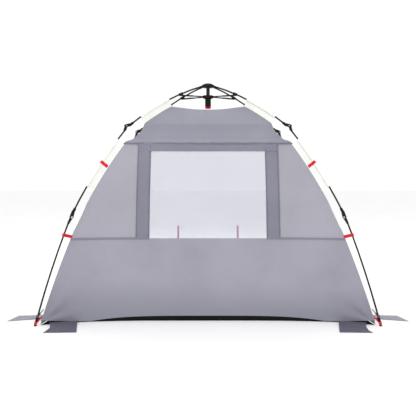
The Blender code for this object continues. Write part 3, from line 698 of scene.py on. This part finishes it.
@dataclass
class Canopy:
    """Roof, rear wall with its window, side walls and seams."""

    shape: CanopyShape
    seam_height: float = 0.562
    pane_half: float = 0.405
    pane_top: float = 1.168
    surround_half: float = 0.497
    hem_line: float = 1.225
    wall_top: float = 1.236
    corner_gap: float = 0.002
    strip_lift: float = 2.2 * MM
    wall_foot: float = 0.006
    foot_start: float = 0.060
    corner_lift: float = 0.023
    corner_reach: float = 0.30
    tape: float = 0.012
    stitch_width: float = 0.0035
    ridges: Plane = (0.22, 0.88)
    tie_place: float = 0.206
    tie_length: float = 0.085
    tie_half: float = 0.007
    binding_width: float = 0.024

    def build(self) -> None:
        """Make every cloth panel of the canopy."""
        self.build_roof()
        self.build_rear_lower()
        for side in Side:
            self.build_rear_side(side)
            self.build_surround_strip(side)
            self.build_seam(side)
            for edge, x in (("inner", self.pane_half + 0.006), ("outer", self.surround_half - 0.003)):
                self.build_stitch(f"window_stitch_{edge}_{side.word}", side.value * x)
            self.build_side_wall(side)
            self.build_tie(side)
            self.build_entrance_binding(side)
        self.build_top_strip()
        self.build_pane()

    def slack(self, point: Vector, edge: float, seed: float, depth: float = 5 * MM) -> float:
        """How far slack cloth stands off its smooth surface.

        Args:
            point: Place on the cloth.
            edge: 0 at a held edge, 1 well inside.
            seed: Shifts the pattern.
            depth: Depth of the broad waves.

        Returns:
            The height along the outward normal.
        """
        broad = crumple(Vector((point.x, point.y, point.z * 0.45)), 0.42, depth, seed)
        fine = crumple(Vector((point.x * 1.2, point.y, point.z * 0.6)), 0.085, depth * 0.16, seed + 3)
        return (broad + fine) * edge

    def pull(self, point: Vector, corner: Vector, reach: float, depth: float, folds: int) -> float:
        """Tension folds that fan out of a held corner."""
        away = point - corner
        distance = math.hypot(away.x, away.z)
        if distance > reach:
            return 0.0
        angle = math.atan2(away.z, away.x)
        fade = (1 - distance / reach) ** 2 * min(1.0, distance / (reach * 0.18))
        return depth * fade * math.sin(angle * folds)

    def roof_ring(self, z: float, droop: float, scale: float = 1.0) -> list[Vector]:
        """One loop around the roof at a height, sagging between its corners."""
        half = self.shape.rear_half(z, 0.0)
        rear = [self.shape.rear(half * s, z, 0.0) for s in spread(-1, 1, 64)[:-1]]
        right = [self.shape.side(s, z, 0.0, 1) for s in spread(-1, 1, 40)[:-1]]
        ring: list[Vector] = []
        for points, sign in ((rear, 1), (right, 1), (rear, -1), (right, -1)):
            for k, point in enumerate(points):
                share = 2 * k / len(points) - 1
                low = droop * (1 - share * share)
                ring.append(Vector((sign * point.x * scale, sign * point.y * scale, point.z - low)))
        return ring

    def build_roof(self) -> None:
        """The roof cloth with its top, and the turned hem at its lower edge."""
        shape = self.shape
        rows: Rows = []
        for scale in (0.02, 0.12, 0.25, 0.4, 0.55, 0.7, 0.82, 0.92, 0.98):
            ring = self.roof_ring(shape.roof_top, shape.roof_sag, scale)
            drop = shape.roof_sag * (1 - scale**2)
            rows.append([Vector((p.x, p.y, min(p.z, shape.roof_top - drop))) for p in ring])
        for z in spread(shape.roof_top, shape.hem, 60):
            share = (shape.roof_top - z) / (shape.roof_top - shape.hem)
            ring = self.roof_ring(z, shape.roof_sag * (1 - share) ** 2)
            flare = max(0.0, share - 0.9) * 0.02
            free = min(1.0, share * 3) * 0.8
            rows.append([p + level(p) * (self.slack(p, free, Seed.ROOF, 3 * MM) + flare) for p in ring])
        Sheet("roof_cloth", rows, Finish.ROOF, "roof_fabric", replaces=("roof",), around=True).build()
        low = [
            [p + level(p) * (lift * MM + 0.003) for p in self.roof_ring(shape.hem + above, 0.0)]
            for above, lift in ((0.007, 0.8), (0.003, 1.4), (-0.001, 1.0))
        ]
        Sheet("roof_hem", low, Finish.SEAM, "roof_fabric", around=True).build()

    def rear_rows(
        self,
        left: Edge,
        right: Edge,
        heights: Sequence[float],
        columns: int,
        seed: float,
        depth: float = 5 * MM,
        lift: float = 0.0,
    ) -> Rows:
        """A grid on the rear wall.

        Args:
            left: X of the first edge, or a rule that gives it at a height.
            right: X of the other edge, likewise.
            heights: The rows' heights, top first.
            columns: Cells across.
            seed: Shifts the cloth's waves.
            depth: Depth of the waves.
            lift: How far the cloth stands off the wall.

        Returns:
            Rows of points.
        """
        rows: Rows = []
        for i, z in enumerate(heights):
            row = []
            down = i / (len(heights) - 1)
            ends = [edge(z) if callable(edge) else edge for edge in (left, right)]
            for j, x in enumerate(spread(*ends, columns)):
                across = j / columns
                edge = inside_edges(across, down)
                point = self.shape.rear(x, z, self.shape.tuck)
                point.y -= self.slack(point, edge, seed, depth) + lift
                row.append(point)
            rows.append(row)
        return rows

    def wall_edge(self, z: float) -> float:
        """X of the rear wall's edge at a height."""
        return self.shape.rear_half(z, self.shape.tuck) - self.corner_gap

    def build_rear_lower(self) -> None:
        """The lower rear wall, from the seam to the upturned floor."""
        shape, start = self.shape, self.foot_start
        heights = [*spread(self.seam_height, start, 44), *spread(start, GROUND, 5)[1:]]
        rows = self.rear_rows(lambda z: -self.wall_edge(z), self.wall_edge, heights, 150, Seed.LOWER_WALL, 9 * MM)
        for row in rows[-6:]:
            share = (start - row[0].z) / (start - GROUND)
            for point in row:
                inside = shape.floor_edge(point.x) / shape.floor_edge_height
                lifted = min(1.0, max(0.0, (abs(point.x) - shape.floor_edge_half) / self.corner_reach))
                over = (shape.floor_edge_height - self.wall_foot) * inside
                foot = self.wall_foot + over + self.corner_lift * lifted**2
                point.z = start + (foot - start) * max(0.0, share)
        for point in chain.from_iterable(rows):
            for side in Side:
                corner = Vector((side.value * 1.10, point.y, 0.02))
                point.y -= self.pull(point, corner, 0.55, 7 * MM, 9)
        Sheet("rear_lower_wall", rows, Finish.LOWER_WALL, "wall_fabric", replaces=("rear_wall",)).build()

    def build_rear_side(self, side: Side) -> None:
        """The panel beside the window, from the seam up to the roof's hem."""
        sign = side.value
        heights = spread(self.wall_top, self.seam_height, 56)
        inner = sign * self.surround_half * 0.99
        rows = self.rear_rows(inner, lambda z: sign * self.wall_edge(z), heights, 40, Seed.SIDE_PANEL + sign)
        name = f"rear_side_panel_{side.word}"
        Sheet(name, rows, Finish.SIDE_PANEL, "wall_fabric").build()

    def build_surround_strip(self, side: Side) -> None:
        """The doubled strip down one side of the window, with a raised fold along each edge."""
        sign = side.value
        inner, outer = self.pane_half, self.surround_half + 0.004
        heights = spread(self.wall_top, self.seam_height - 0.004, 70)
        seed = Seed.SURROUND + sign
        rows = self.rear_rows(sign * inner, sign * outer, heights, 18, seed, 2 * MM, self.strip_lift)
        for row in rows:
            for j, point in enumerate(row):
                across = j / 18
                ridge = sum(math.exp(-(((across - place) / 0.05) ** 2)) for place in self.ridges)
                point.y -= 1.8 * MM * ridge + crumple(point, 0.05, 1.2 * MM, Seed.SURROUND_FINE + sign)
                top = Vector((sign * inner, point.y, self.pane_top + 0.03))
                point.y -= self.pull(point, top, 0.16, 4 * MM, 7)
        name = f"window_side_strip_{side.word}"
        Sheet(name, rows, Finish.SURROUND, "wall_fabric").build()

    def build_top_strip(self) -> None:
        """The rolled strip over the window, under the roof's hem."""
        heights = spread(self.wall_top, self.pane_top, 14)
        lift = self.strip_lift * 2.2
        half = self.surround_half
        rows = self.rear_rows(-half, half, heights, 130, Seed.TOP_STRIP, 2 * MM, lift)
        for point in chain.from_iterable(rows):
            stretched = Vector((point.x * 0.5, point.y, point.z * 2))
            point.y -= crumple(stretched, 0.05, 2.5 * MM, Seed.TOP_STRIP_FINE)
            for side in Side:
                corner = Vector((side.value * (half - 0.02), point.y, self.pane_top + 0.05))
                point.y -= self.pull(point, corner, 0.20, 4 * MM, 8)
        Sheet("window_top_strip", rows, Finish.SURROUND, "wall_fabric").build()

    def build_pane(self) -> None:
        """The see-through window mesh."""
        heights = spread(self.pane_top + 0.006, self.seam_height, 40)
        half = self.pane_half + 0.004
        rows = self.rear_rows(-half, half, heights, 60, Seed.PANE, 4 * MM)
        Sheet(
            "window_mesh_cloth", rows, Finish.PANE, "window_mesh", replaces=("window_pane",),
            thickness=0.5 * MM,
        ).build()

    def build_seam(self, side: Side) -> None:
        """The bound seam across the rear wall, from the window's surround to the corner."""
        sign = side.value
        heights = [self.seam_height + self.tape * s for s in (0.5, 0.25, 0.0, -0.25, -0.5)]
        inner = sign * (self.pane_half + 0.002)
        seed = Seed.LOWER_WALL
        rows = self.rear_rows(inner, lambda z: sign * self.wall_edge(z), heights, 70, seed, 0.0, 3.2 * MM)
        for point in rows[2]:
            point.y -= 1.0 * MM
        Sheet(f"rear_seam_{side.word}", rows, Finish.SURROUND, "wall_fabric").build()

    def build_stitch(self, name: str, x: float) -> None:
        """A stitched fold down the window's surround."""
        half = self.stitch_width / 2
        heights = spread(self.hem_line, self.seam_height + 0.004, 60)
        rows = self.rear_rows(x - half, x + half, heights, 3, Seed.SURROUND, 0.0, 5.6 * MM)
        for point in chain.from_iterable(rows):
            point.y -= crumple(point, 0.05, 1.2 * MM, Seed.PANE)
        Sheet(name, rows, Finish.SEAM, "wall_fabric", thickness=0.5 * MM).build()

    def build_tie(self, side: Side) -> None:
        """A red ribbon that holds the window's inner cover, seen through the mesh."""
        x = side.value * self.tie_place
        rows: Rows = []
        for z in spread(self.seam_height + self.tie_length, self.seam_height, 16):
            row = []
            for across in spread(-self.tie_half, self.tie_half, 3):
                point = self.shape.rear(x + across, z, self.shape.tuck)
                point.y += 9 * MM + 3 * MM * math.sin(z * 70)
                row.append(point)
            rows.append(row)
        Sheet(f"window_tie_{side.word}", rows, Finish.RED, "red_webbing", held=Held.HUNG).build()

    def build_side_wall(self, side: Side) -> None:
        """One side wall, from the roof's hem to the ground."""
        sign = side.value
        rows: Rows = []
        heights = spread(self.wall_top, self.wall_foot, 90)
        for i, z in enumerate(heights):
            reach = self.shape.reach(z) * math.sin(self.shape.line.turn) - self.shape.tuck
            limit = 1 - self.corner_gap / reach
            row = []
            down = i / 90
            for j, share in enumerate(spread(-limit, limit, 90)):
                across = j / 90
                edge = inside_edges(across, down)
                point = self.shape.side(share, z, self.shape.tuck, sign)
                point.x += sign * self.slack(point, edge, Seed.SIDE_WALL + sign, 8 * MM)
                row.append(point)
            rows.append(row)
        name = f"side_wall_{side.word}"
        node = f"{side.word}_wall"
        Sheet(name, rows, Finish.LOWER_WALL, "wall_fabric", replaces=(node,)).build()
        seam: Rows = []
        for z in (self.seam_height + 0.006, self.seam_height, self.seam_height - 0.006):
            row = []
            for share in spread(-0.99, 0.99, 80):
                point = self.shape.side(share, z, self.shape.tuck, sign)
                wave = inside_edges((1 + share) / 2, 0.5)
                point.x += sign * (self.slack(point, wave, Seed.SIDE_WALL + sign, 8 * MM) + 1.5 * MM)
                row.append(point)
            seam.append(row)
        Sheet(f"side_seam_{side.word}", seam, Finish.SURROUND, "wall_fabric").build()

    def build_entrance_binding(self, side: Side) -> None:
        """The binding that edges the open front, folded round a side wall's front edge."""
        sign = side.value
        rows: Rows = []
        for z in spread(self.wall_top, self.wall_foot + 0.002, 80):
            edge = self.shape.side(1 - 0.012, z, self.shape.tuck, sign)
            row = []
            for turn in spread(-1.0, 1.0, 6):
                back = self.binding_width * abs(turn)
                row.append(Vector((edge.x + sign * (2.2 * MM * turn), edge.y + 0.004 - back, z)))
            rows.append(row)
        Sheet(
            f"entrance_binding_{side.word}", rows, Finish.SEAM, "wall_fabric", thickness=0.6 * MM, offset=0.0
        ).build()


@dataclass
class Groundwork:
    """Floor, its upturned rear edge, and the four ground flaps."""

    shape: CanopyShape
    rear_sewn: Plane = (0.885, 1.060)
    rear_tips: tuple[Plane, Plane] = ((1.047, -0.886), (0.836, -0.875))
    side_sewn: Plane = (-0.470, -0.380)
    sewn_margin: float = 0.004
    floor_lift: float = 1.6 * MM
    side_tips: tuple[Plane, Plane] = ((1.340, -0.400), (1.372, -0.570))

    def build(self) -> None:
        """Make the floor, its edge and the flaps."""
        self.build_floor()
        self.build_edge()
        for side in Side:
            # The rear flaps take the darkened finish, which is painted shade; the side flaps take the lower wall
            # cloth.
            self.build_flap(f"rear_flap_{side.word}", side, self.rear_corners(), Finish.FLAP, 0.020)
            self.build_flap(f"side_flap_{side.word}", side, self.side_corners(), Finish.LOWER_WALL, 0.0)

    def build_floor(self) -> None:
        """The groundsheet, laid with a few shallow waves."""
        inset = self.shape.tuck + 0.006
        rows: Rows = []
        for share in spread(-1, 1, 60):
            row = []
            for across in spread(-1, 1, 90):
                rear = self.shape.rear(across * self.shape.rear_half(GROUND, inset), GROUND, inset).y
                front = self.shape.reach(GROUND) * math.sin(self.shape.line.turn) - inset
                side = self.shape.side(share * 0.99, GROUND, inset, 1).x
                y = rear + (front - rear) * (share + 1) / 2
                point = Vector((across * side, y, 0.0))
                point.z = self.floor_lift + max(0.0, crumple(point, 0.16, 4 * MM, Seed.FLOOR))
                row.append(point)
            rows.append(row)
        Sheet(
            "groundsheet", rows, Finish.FLOOR, "floor_fabric", held=Held.LAID, replaces=("floor",),
            outward_from=DEEP_BELOW, squash=False,
        ).build()

    def build_edge(self) -> None:
        """The floor's upturned rear edge under the rear wall, a black strip that is partly floor and partly
        painted shadow under the wall's hem.
        """
        rows: Rows = []
        for share in spread(1, 0, 8):
            row = []
            for x in spread(-self.shape.floor_edge_half, self.shape.floor_edge_half, 90):
                point = self.shape.rear(x, GROUND, self.shape.tuck)
                point.z = 0.0012 + (self.shape.floor_edge(x) + 0.004) * share
                point.y += 1.5 * MM - crumple(point, 0.07, 1.5 * MM, Seed.FLOOR_EDGE)
                row.append(point)
            rows.append(row)
        Sheet("groundsheet_edge", rows, Finish.FLOOR, "floor_fabric", replaces=("floor_edge",)).build()

    def rear_corners(self) -> list[Vector]:
        """Corners of a rear flap on the right: the sewn edge, then the free one."""
        sewn = [self.shape.rear(x, GROUND, 0.0) for x in self.rear_sewn]
        out = self.sewn_margin
        return [*(Vector((p.x, p.y - out, 0.0)) for p in sewn), *(Vector((*t, 0.0)) for t in self.rear_tips)]

    def side_corners(self) -> list[Vector]:
        """Corners of a side flap on the right: the sewn edge, then the free one."""
        depth = self.shape.reach(GROUND) * math.sin(self.shape.line.turn)
        sewn = [self.shape.side(y / depth, GROUND, 0.0, 1) for y in self.side_sewn]
        out = self.sewn_margin
        return [*(Vector((p.x + out, p.y, 0.0)) for p in sewn), *(Vector((*t, 0.0)) for t in self.side_tips)]

    def build_flap(
        self, node: str, side: Side, corners: Sequence[Vector], finish: Finish, hollow: float
    ) -> None:
        """One ground flap, sewn along one edge and lying in soft waves, with a turned hem around it.

        Args:
            node: The CAD node that it stands for.
            side: Which half of the tent.
            corners: The sewn edge's two corners, then the free edge's two.
            finish: Its cloth.
            hollow: How far its outer edge curves in.
        """
        a, b, c, d = corners
        rows: Rows = []
        for down in spread(0, 1, 26):
            row = []
            for across in spread(0, 1, 26):
                point = a.lerp(b, across).lerp(d.lerp(c, across), down)
                wave = max(0.0, crumple(point, 0.10, 9 * MM, Seed.FLAP + side.value))
                hem = 0.8 * MM * (min(across, 1 - across, 1 - down) < 0.07)
                point.x = side.value * (point.x - hollow * across * math.sin(math.pi * down))
                wave *= math.sin(math.pi * min(1.0, down * 1.1))
                point.z = 1.2 * MM + 12 * MM * (1 - down) ** 3 + wave + hem
                row.append(point)
            rows.append(row)
        Sheet(
            f"{node}_cloth", rows, finish, "flap_fabric", held=Held.LAID, replaces=(node,),
            outward_from=DEEP_BELOW, squash=False,
        ).build()


@dataclass(frozen=True)
class Strap:
    """A webbing strap on a lower pole: its place along the pole, its width and how far its tails rise."""

    name: str
    finish: Finish
    place: float
    from_foot: bool
    width: float
    rise: float


STRAPS = (
    Strap("wall_strap", Finish.RED, 0.130, False, 0.022, 0.006),
    Strap("foot_strap", Finish.RED, -0.018, True, 0.018, 0.030),
    Strap("foot_loop", Finish.LOOP, -0.064, True, 0.0105, 0.036),
)


@dataclass
class LegCloth:
    """Pole sleeves, red bands and the straps between the canopy and the lower poles."""

    shape: CanopyShape
    pocket: float = 9.2 * MM
    web: float = 1.5 * MM
    width: float = 0.0525
    upper_span: Plane = (0.330, 0.600)
    middle_span: Plane = (0.115, 0.520)
    band_place: float = 0.320
    band_width: float = 0.022
    band_clearance: float = 1.5 * MM
    web_start: float = -0.0086
    stitch_columns: tuple[float, ...] = (-0.0122, -0.0114, -0.0106, -0.0098)
    sewn_keep: float = 0.35
    loop_radius: float = 10.6 * MM
    loop_turn: float = math.radians(130)

    def build(self) -> None:
        """Make the cloth of all four legs."""
        sections = self.shape.line.sections
        for leg, turn in self.shape.line.legs.items():
            self.build_sleeve(f"upper_sleeve_{leg}", sections[0], self.upper_span, turn, f"upper_{leg}")
            self.build_sleeve(f"middle_sleeve_{leg}", sections[1], self.middle_span, turn, f"middle_{leg}")
            self.build_band(leg, sections[1], turn)
            pole = sections[2]
            for strap in STRAPS:
                start = path_length(pole) if strap.from_foot else 0.0
                self.build_strap(strap, leg, pole, turn, start + strap.place)

    def outline(self, extra: float, count: int = 14) -> list[Plane]:
        """Outline of a sleeve: a round pocket and a flat web, as (outwards, sideways)."""
        pocket = self.pocket + extra
        half = self.web + extra
        root = math.pi - math.asin(half / pocket)
        arc = [(pocket * math.cos(a), pocket * math.sin(a)) for a in spread(root, -root, count)]
        tip = -(self.width + extra)
        places = spread(tip, arc[0][0], 8)[:-1]
        return [*((p, half) for p in places), *arc, *((p, -half) for p in reversed(places))]

    def build_sleeve(self, node: str, path: Sequence[Vector], span: Plane, turn: float, body: str) -> None:
        """A sleeve: its pocket round the pole, the flat web sewn to the canopy, and the stitching."""
        pocket: Rows = []
        web: Rows = []
        stitch: Rows = []
        for distance in spread(*span, 50):
            place = partial(leg_point, path, turn, distance)
            radius = self.pocket * (1 + crumple(Vector((distance, turn, 0.0)), 0.03, 0.08, Seed.POCKET))
            angles = spread(-math.pi, math.pi, 20)[:-1]
            pocket.append([place(radius * math.cos(t), radius * math.sin(t)) for t in angles])
            outs = spread(self.web_start, -self.width, 12)
            waves = [crumple(Vector((distance, a, turn)), 0.035, 1.1 * MM, Seed.WEB) for a in outs]
            web.append([place(a, wave) for a, wave in zip(outs, waves)])
            stitch.append([place(a, -(self.web + 0.9 * MM)) for a in self.stitch_columns])
        turned = Matrix.Rotation(turn, 4, "Z")
        middle = leg_point(path, turn, sum(span) / 2, 0.0, 0.0)
        _, _, outer = along_path(path, sum(span) / 2)
        gather = (turned @ Vector((outer.x, 0.0, outer.y)), middle) if body.startswith("upper") else None
        sewn = {"body": body, "offset": 0.0, "gather": gather, "keep": self.sewn_keep}
        Sheet(
            f"{node}_pocket", pocket, Finish.SLEEVE, "sleeve_fabric", body=body, thickness=0.7 * MM,
            replaces=(node,), around=True, outward_from=middle,
        ).build()
        Sheet(
            f"{node}_web", web, Finish.SLEEVE, "sleeve_fabric", thickness=2.6 * MM,
            outward_from=middle + turned @ Vector((0.0, 0.1, 0.0)), **sewn,
        ).build()
        Sheet(
            f"{node}_stitching", stitch, Finish.SLEEVE_EDGE, "sleeve_fabric", thickness=0.5 * MM,
            outward_from=middle, **sewn,
        ).build()

    def build_band(self, leg: str, path: Sequence[Vector], turn: float) -> None:
        """The red band around a middle sleeve."""
        half = self.band_width / 2
        outline = self.outline(self.band_clearance)
        places = spread(self.band_place - half, self.band_place + half, 10)
        rows = [[leg_point(path, turn, place, a, w) for a, w in outline] for place in places]
        Sheet(
            f"sleeve_band_{leg}_webbing", rows, Finish.RED, "red_webbing", body=f"middle_{leg}",
            thickness=1.1 * MM, replaces=(f"sleeve_band_{leg}",), around=True, outward_from=rows[5][15].copy(),
        ).build()

    def build_strap(self, strap: Strap, leg: str, path: Sequence[Vector], turn: float, distance: float) -> None:
        """A webbing loop round the lower pole, with both tails sewn to the canopy's corner."""
        upper, middle, _ = (path_length(p) for p in self.shape.line.sections)
        reach = self.shape.offset(upper + middle + distance)
        profile = [(-reach - 0.014, 1.4 * MM), (-reach, 1.4 * MM), (-0.024, 2.0 * MM), (-0.013, 5.5 * MM)]
        turns = spread(self.loop_turn, -self.loop_turn, 12)
        arc = [(self.loop_radius * math.cos(a), self.loop_radius * math.sin(a)) for a in turns]
        loop = [*profile, *arc, *((a, -w) for a, w in reversed(profile))]
        rows = [
            [leg_point(path, turn, distance + across, a, w, strap.rise * max(0.0, -a) / reach) for a, w in loop]
            for across in spread(-strap.width / 2, strap.width / 2, 4)
        ]
        inside = Matrix.Rotation(turn, 4, "Z") @ Vector((rows[2][9].x, 0, 0))
        Sheet(
            f"{strap.name}_{leg}", rows, strap.finish, "red_webbing", thickness=1.2 * MM,
            outward_from=inside, offset=0.0, body=f"lower_{leg}",
        ).build()


@dataclass
class Hardware:
    """Frame fittings: finishes on the CAD parts, rivet heads and the pull tab."""

    rivet_radius: float = 5.5 * MM
    rivet_height: float = 2.2 * MM
    fork_half: float = 8.6 * MM

    def build(self) -> None:
        """Dress the CAD parts and add the small pieces."""
        for name, node in frame["nodes"].items():
            self.dress(name, node)
        for joint in frame["record"]["behaviour"]["joints"]:
            for kind, scale in (("upper_knuckle_fold", 1.0), ("lower_knuckle_fold", 1.5)):
                if joint["name"].startswith(kind):
                    self.build_rivets(joint, joint["parent"], self.rivet_radius * scale)
        self.build_tab()

    def dress(self, name: str, node: bpy.types.Object) -> None:
        """Give a shown CAD part its finish."""
        if node.hide_render:
            return
        finish = Finish.PLASTIC
        if "_pole_" in name:
            finish = Finish.POLE
        if name == "post":
            finish = Finish.POST
        node.data.materials.clear()
        node.data.materials.append(finish.material)
        deselect()
        bpy.context.view_layer.objects.active = node
        node.select_set(True)
        bpy.ops.object.shade_smooth_by_angle(angle=math.radians(38))

    def build_rivets(self, joint: dict, body: str, radius: float) -> None:
        """A domed rivet head with a dished middle on each side of a knuckle."""
        axis = Vector(joint["axis"]).normalized()
        for label, sign in (("a", 1), ("b", -1)):
            deselect()
            place = Vector(joint["pos_m"]) + axis * sign * (self.fork_half + self.rivet_height / 2)
            turn = (axis * sign).to_track_quat("Z", "Y").to_euler()
            bpy.ops.mesh.primitive_cylinder_add(
                vertices=24, radius=radius, depth=self.rivet_height, location=place, rotation=turn
            )
            obj = bpy.context.object
            obj.name = f"rivet_{joint['name']}_{label}"
            bpy.ops.object.mode_set(mode="EDIT")
            bm = bmesh.from_edit_mesh(obj.data)
            top = max(bm.faces, key=lambda f: f.calc_center_median().z)
            bpy.ops.mesh.select_all(action="DESELECT")
            bm.faces.ensure_lookup_table()
            top.select_set(True)
            bmesh.update_edit_mesh(obj.data)
            bpy.ops.mesh.inset(thickness=radius * 0.45, depth=0.0)
            bpy.ops.mesh.inset(thickness=radius * 0.12, depth=-self.rivet_height * 0.45)
            bpy.ops.object.mode_set(mode="OBJECT")
            bevel = obj.modifiers.new("soft_edge", "BEVEL")
            bevel.width = 0.5 * MM
            bevel.segments = 2
            bevel.limit_method = "ANGLE"
            apply_modifiers(obj)
            bpy.ops.object.shade_smooth_by_angle(angle=math.radians(40))
            settle(obj)
            obj.data.materials.append(Finish.RIVET.material)
            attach(obj, body)
            LOG.info("rivet %s", obj.name)

    def build_tab(self) -> None:
        """The red pull tab under the runner: webbing folded into a flat loop."""
        low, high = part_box("pull_tab")
        rows: Rows = []
        for across in spread(-1.0, 1.0, 20):
            row = []
            for share in spread(0.0, 1.0, 20):
                turn = math.pi * share
                depth = 5 * MM * math.sin(turn * 2) * 0.4 + 4 * MM * math.cos(turn)
                drop = (high.z - low.z - 0.002) * math.sin(turn) ** 0.6
                x = across * (high.x - low.x) / 2 * (1 - 0.18 * math.sin(turn))
                row.append(Vector((x, depth + 1.5 * MM * math.sin(across * 5), high.z - 0.001 - drop)))
            rows.append(row)
        Sheet(
            "pull_tab_webbing", rows, Finish.RED, "red_webbing", body="runner", thickness=1.4 * MM,
            held=Held.HUNG, replaces=("pull_tab",), offset=0.0, outward_from=Vector((0, 0, high.z)),
        ).build()


LIGHTS = (
    ("key_light", (-2.5, -5.5, 4.5), 5.0, 34.0),
    ("back_light", (0.0, 4.5, 4.0), 5.0, 60.0),
    ("top_light", (0.0, -1.0, 9.0), 9.0, 160.0),
)
LIGHT_AIM = Vector((0.0, 0.0, 0.7))


@dataclass
class Studio:
    """Pale floor, soft light and camera."""

    camera_back: float = 5.0
    camera_height: float = 1.02
    focal_px: float = 649.0
    image_px: float = 416.0
    sensor_mm: float = 36.0
    horizon_px: float = 172.0
    world_strength: float = 1.04

    def build(self) -> None:
        """Make the floor, the lights and the camera."""
        scene = bpy.context.scene
        scene.view_settings.view_transform = "Standard"
        scene.view_settings.look = "None"
        self.build_floor()
        for name, place, size, power in LIGHTS:
            self.build_light(name, place, size, power)
        self.build_world()
        self.build_camera()

    def build_floor(self) -> None:
        """A large pale floor."""
        deselect()
        bpy.ops.mesh.primitive_plane_add(size=60.0, location=(0, 0, -0.0006))
        floor = bpy.context.object
        floor.name = "studio_floor"
        bench = NodeBench("pale_studio_floor")
        coords = bench.add("ShaderNodeTexCoord")
        cloud = bench.add("ShaderNodeTexNoise", {"Vector": (coords, "Object"), "Scale": 1.5, "Detail": 3.0})
        tone = bench.ramp((cloud, "Fac"), [(0.3, linear("#F4F4F4")), (0.7, linear("#F7F7F7"))])
        bench.feed("Base Color", tone, "Color")
        bench.shader.inputs["Roughness"].default_value = 0.9
        bench.shader.inputs["Specular IOR Level"].default_value = 0.1
        floor.data.materials.append(bench.material)

    def build_light(self, name: str, place: tuple[float, float, float], size: float, power: float) -> None:
        """A soft area light that points at the tent."""
        data = bpy.data.lights.new(name, "AREA")
        data.shape = "DISK"
        data.size = size
        data.energy = power
        light = bpy.data.objects.new(name, data)
        bpy.context.scene.collection.objects.link(light)
        light.location = place
        light.rotation_euler = (LIGHT_AIM - Vector(place)).to_track_quat("-Z", "Y").to_euler()

    def build_world(self) -> None:
        """An even white surround."""
        world = bpy.data.worlds.new("studio")
        world.use_nodes = True
        background = world.node_tree.nodes["Background"]
        background.inputs["Color"].default_value = (1.0, 1.0, 1.0, 1.0)
        background.inputs["Strength"].default_value = self.world_strength
        bpy.context.scene.world = world

    def build_camera(self) -> None:
        """A level camera at the tent's back, its view shifted down onto the tent."""
        data = bpy.data.cameras.new("camera")
        data.lens = self.focal_px / self.image_px * self.sensor_mm
        data.sensor_width = self.sensor_mm
        camera = bpy.data.objects.new("camera", data)
        bpy.context.scene.collection.objects.link(camera)
        data.shift_y = (self.horizon_px - self.image_px / 2) / self.image_px
        camera.location = (0.0, -self.camera_back, self.camera_height)
        camera.rotation_euler = (math.pi / 2, 0.0, 0.0)
        bpy.context.scene.camera = camera


def main() -> None:
    """Build the tent's looks in order."""
    logging.basicConfig(level=logging.INFO, format="%(name)s: %(message)s")
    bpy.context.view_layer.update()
    shape = CanopyShape(LegLine())
    Canopy(shape).build()
    Groundwork(shape).build()
    LegCloth(shape).build()
    Hardware().build()
    Studio().build()


if __name__ == "__main__":
    main()
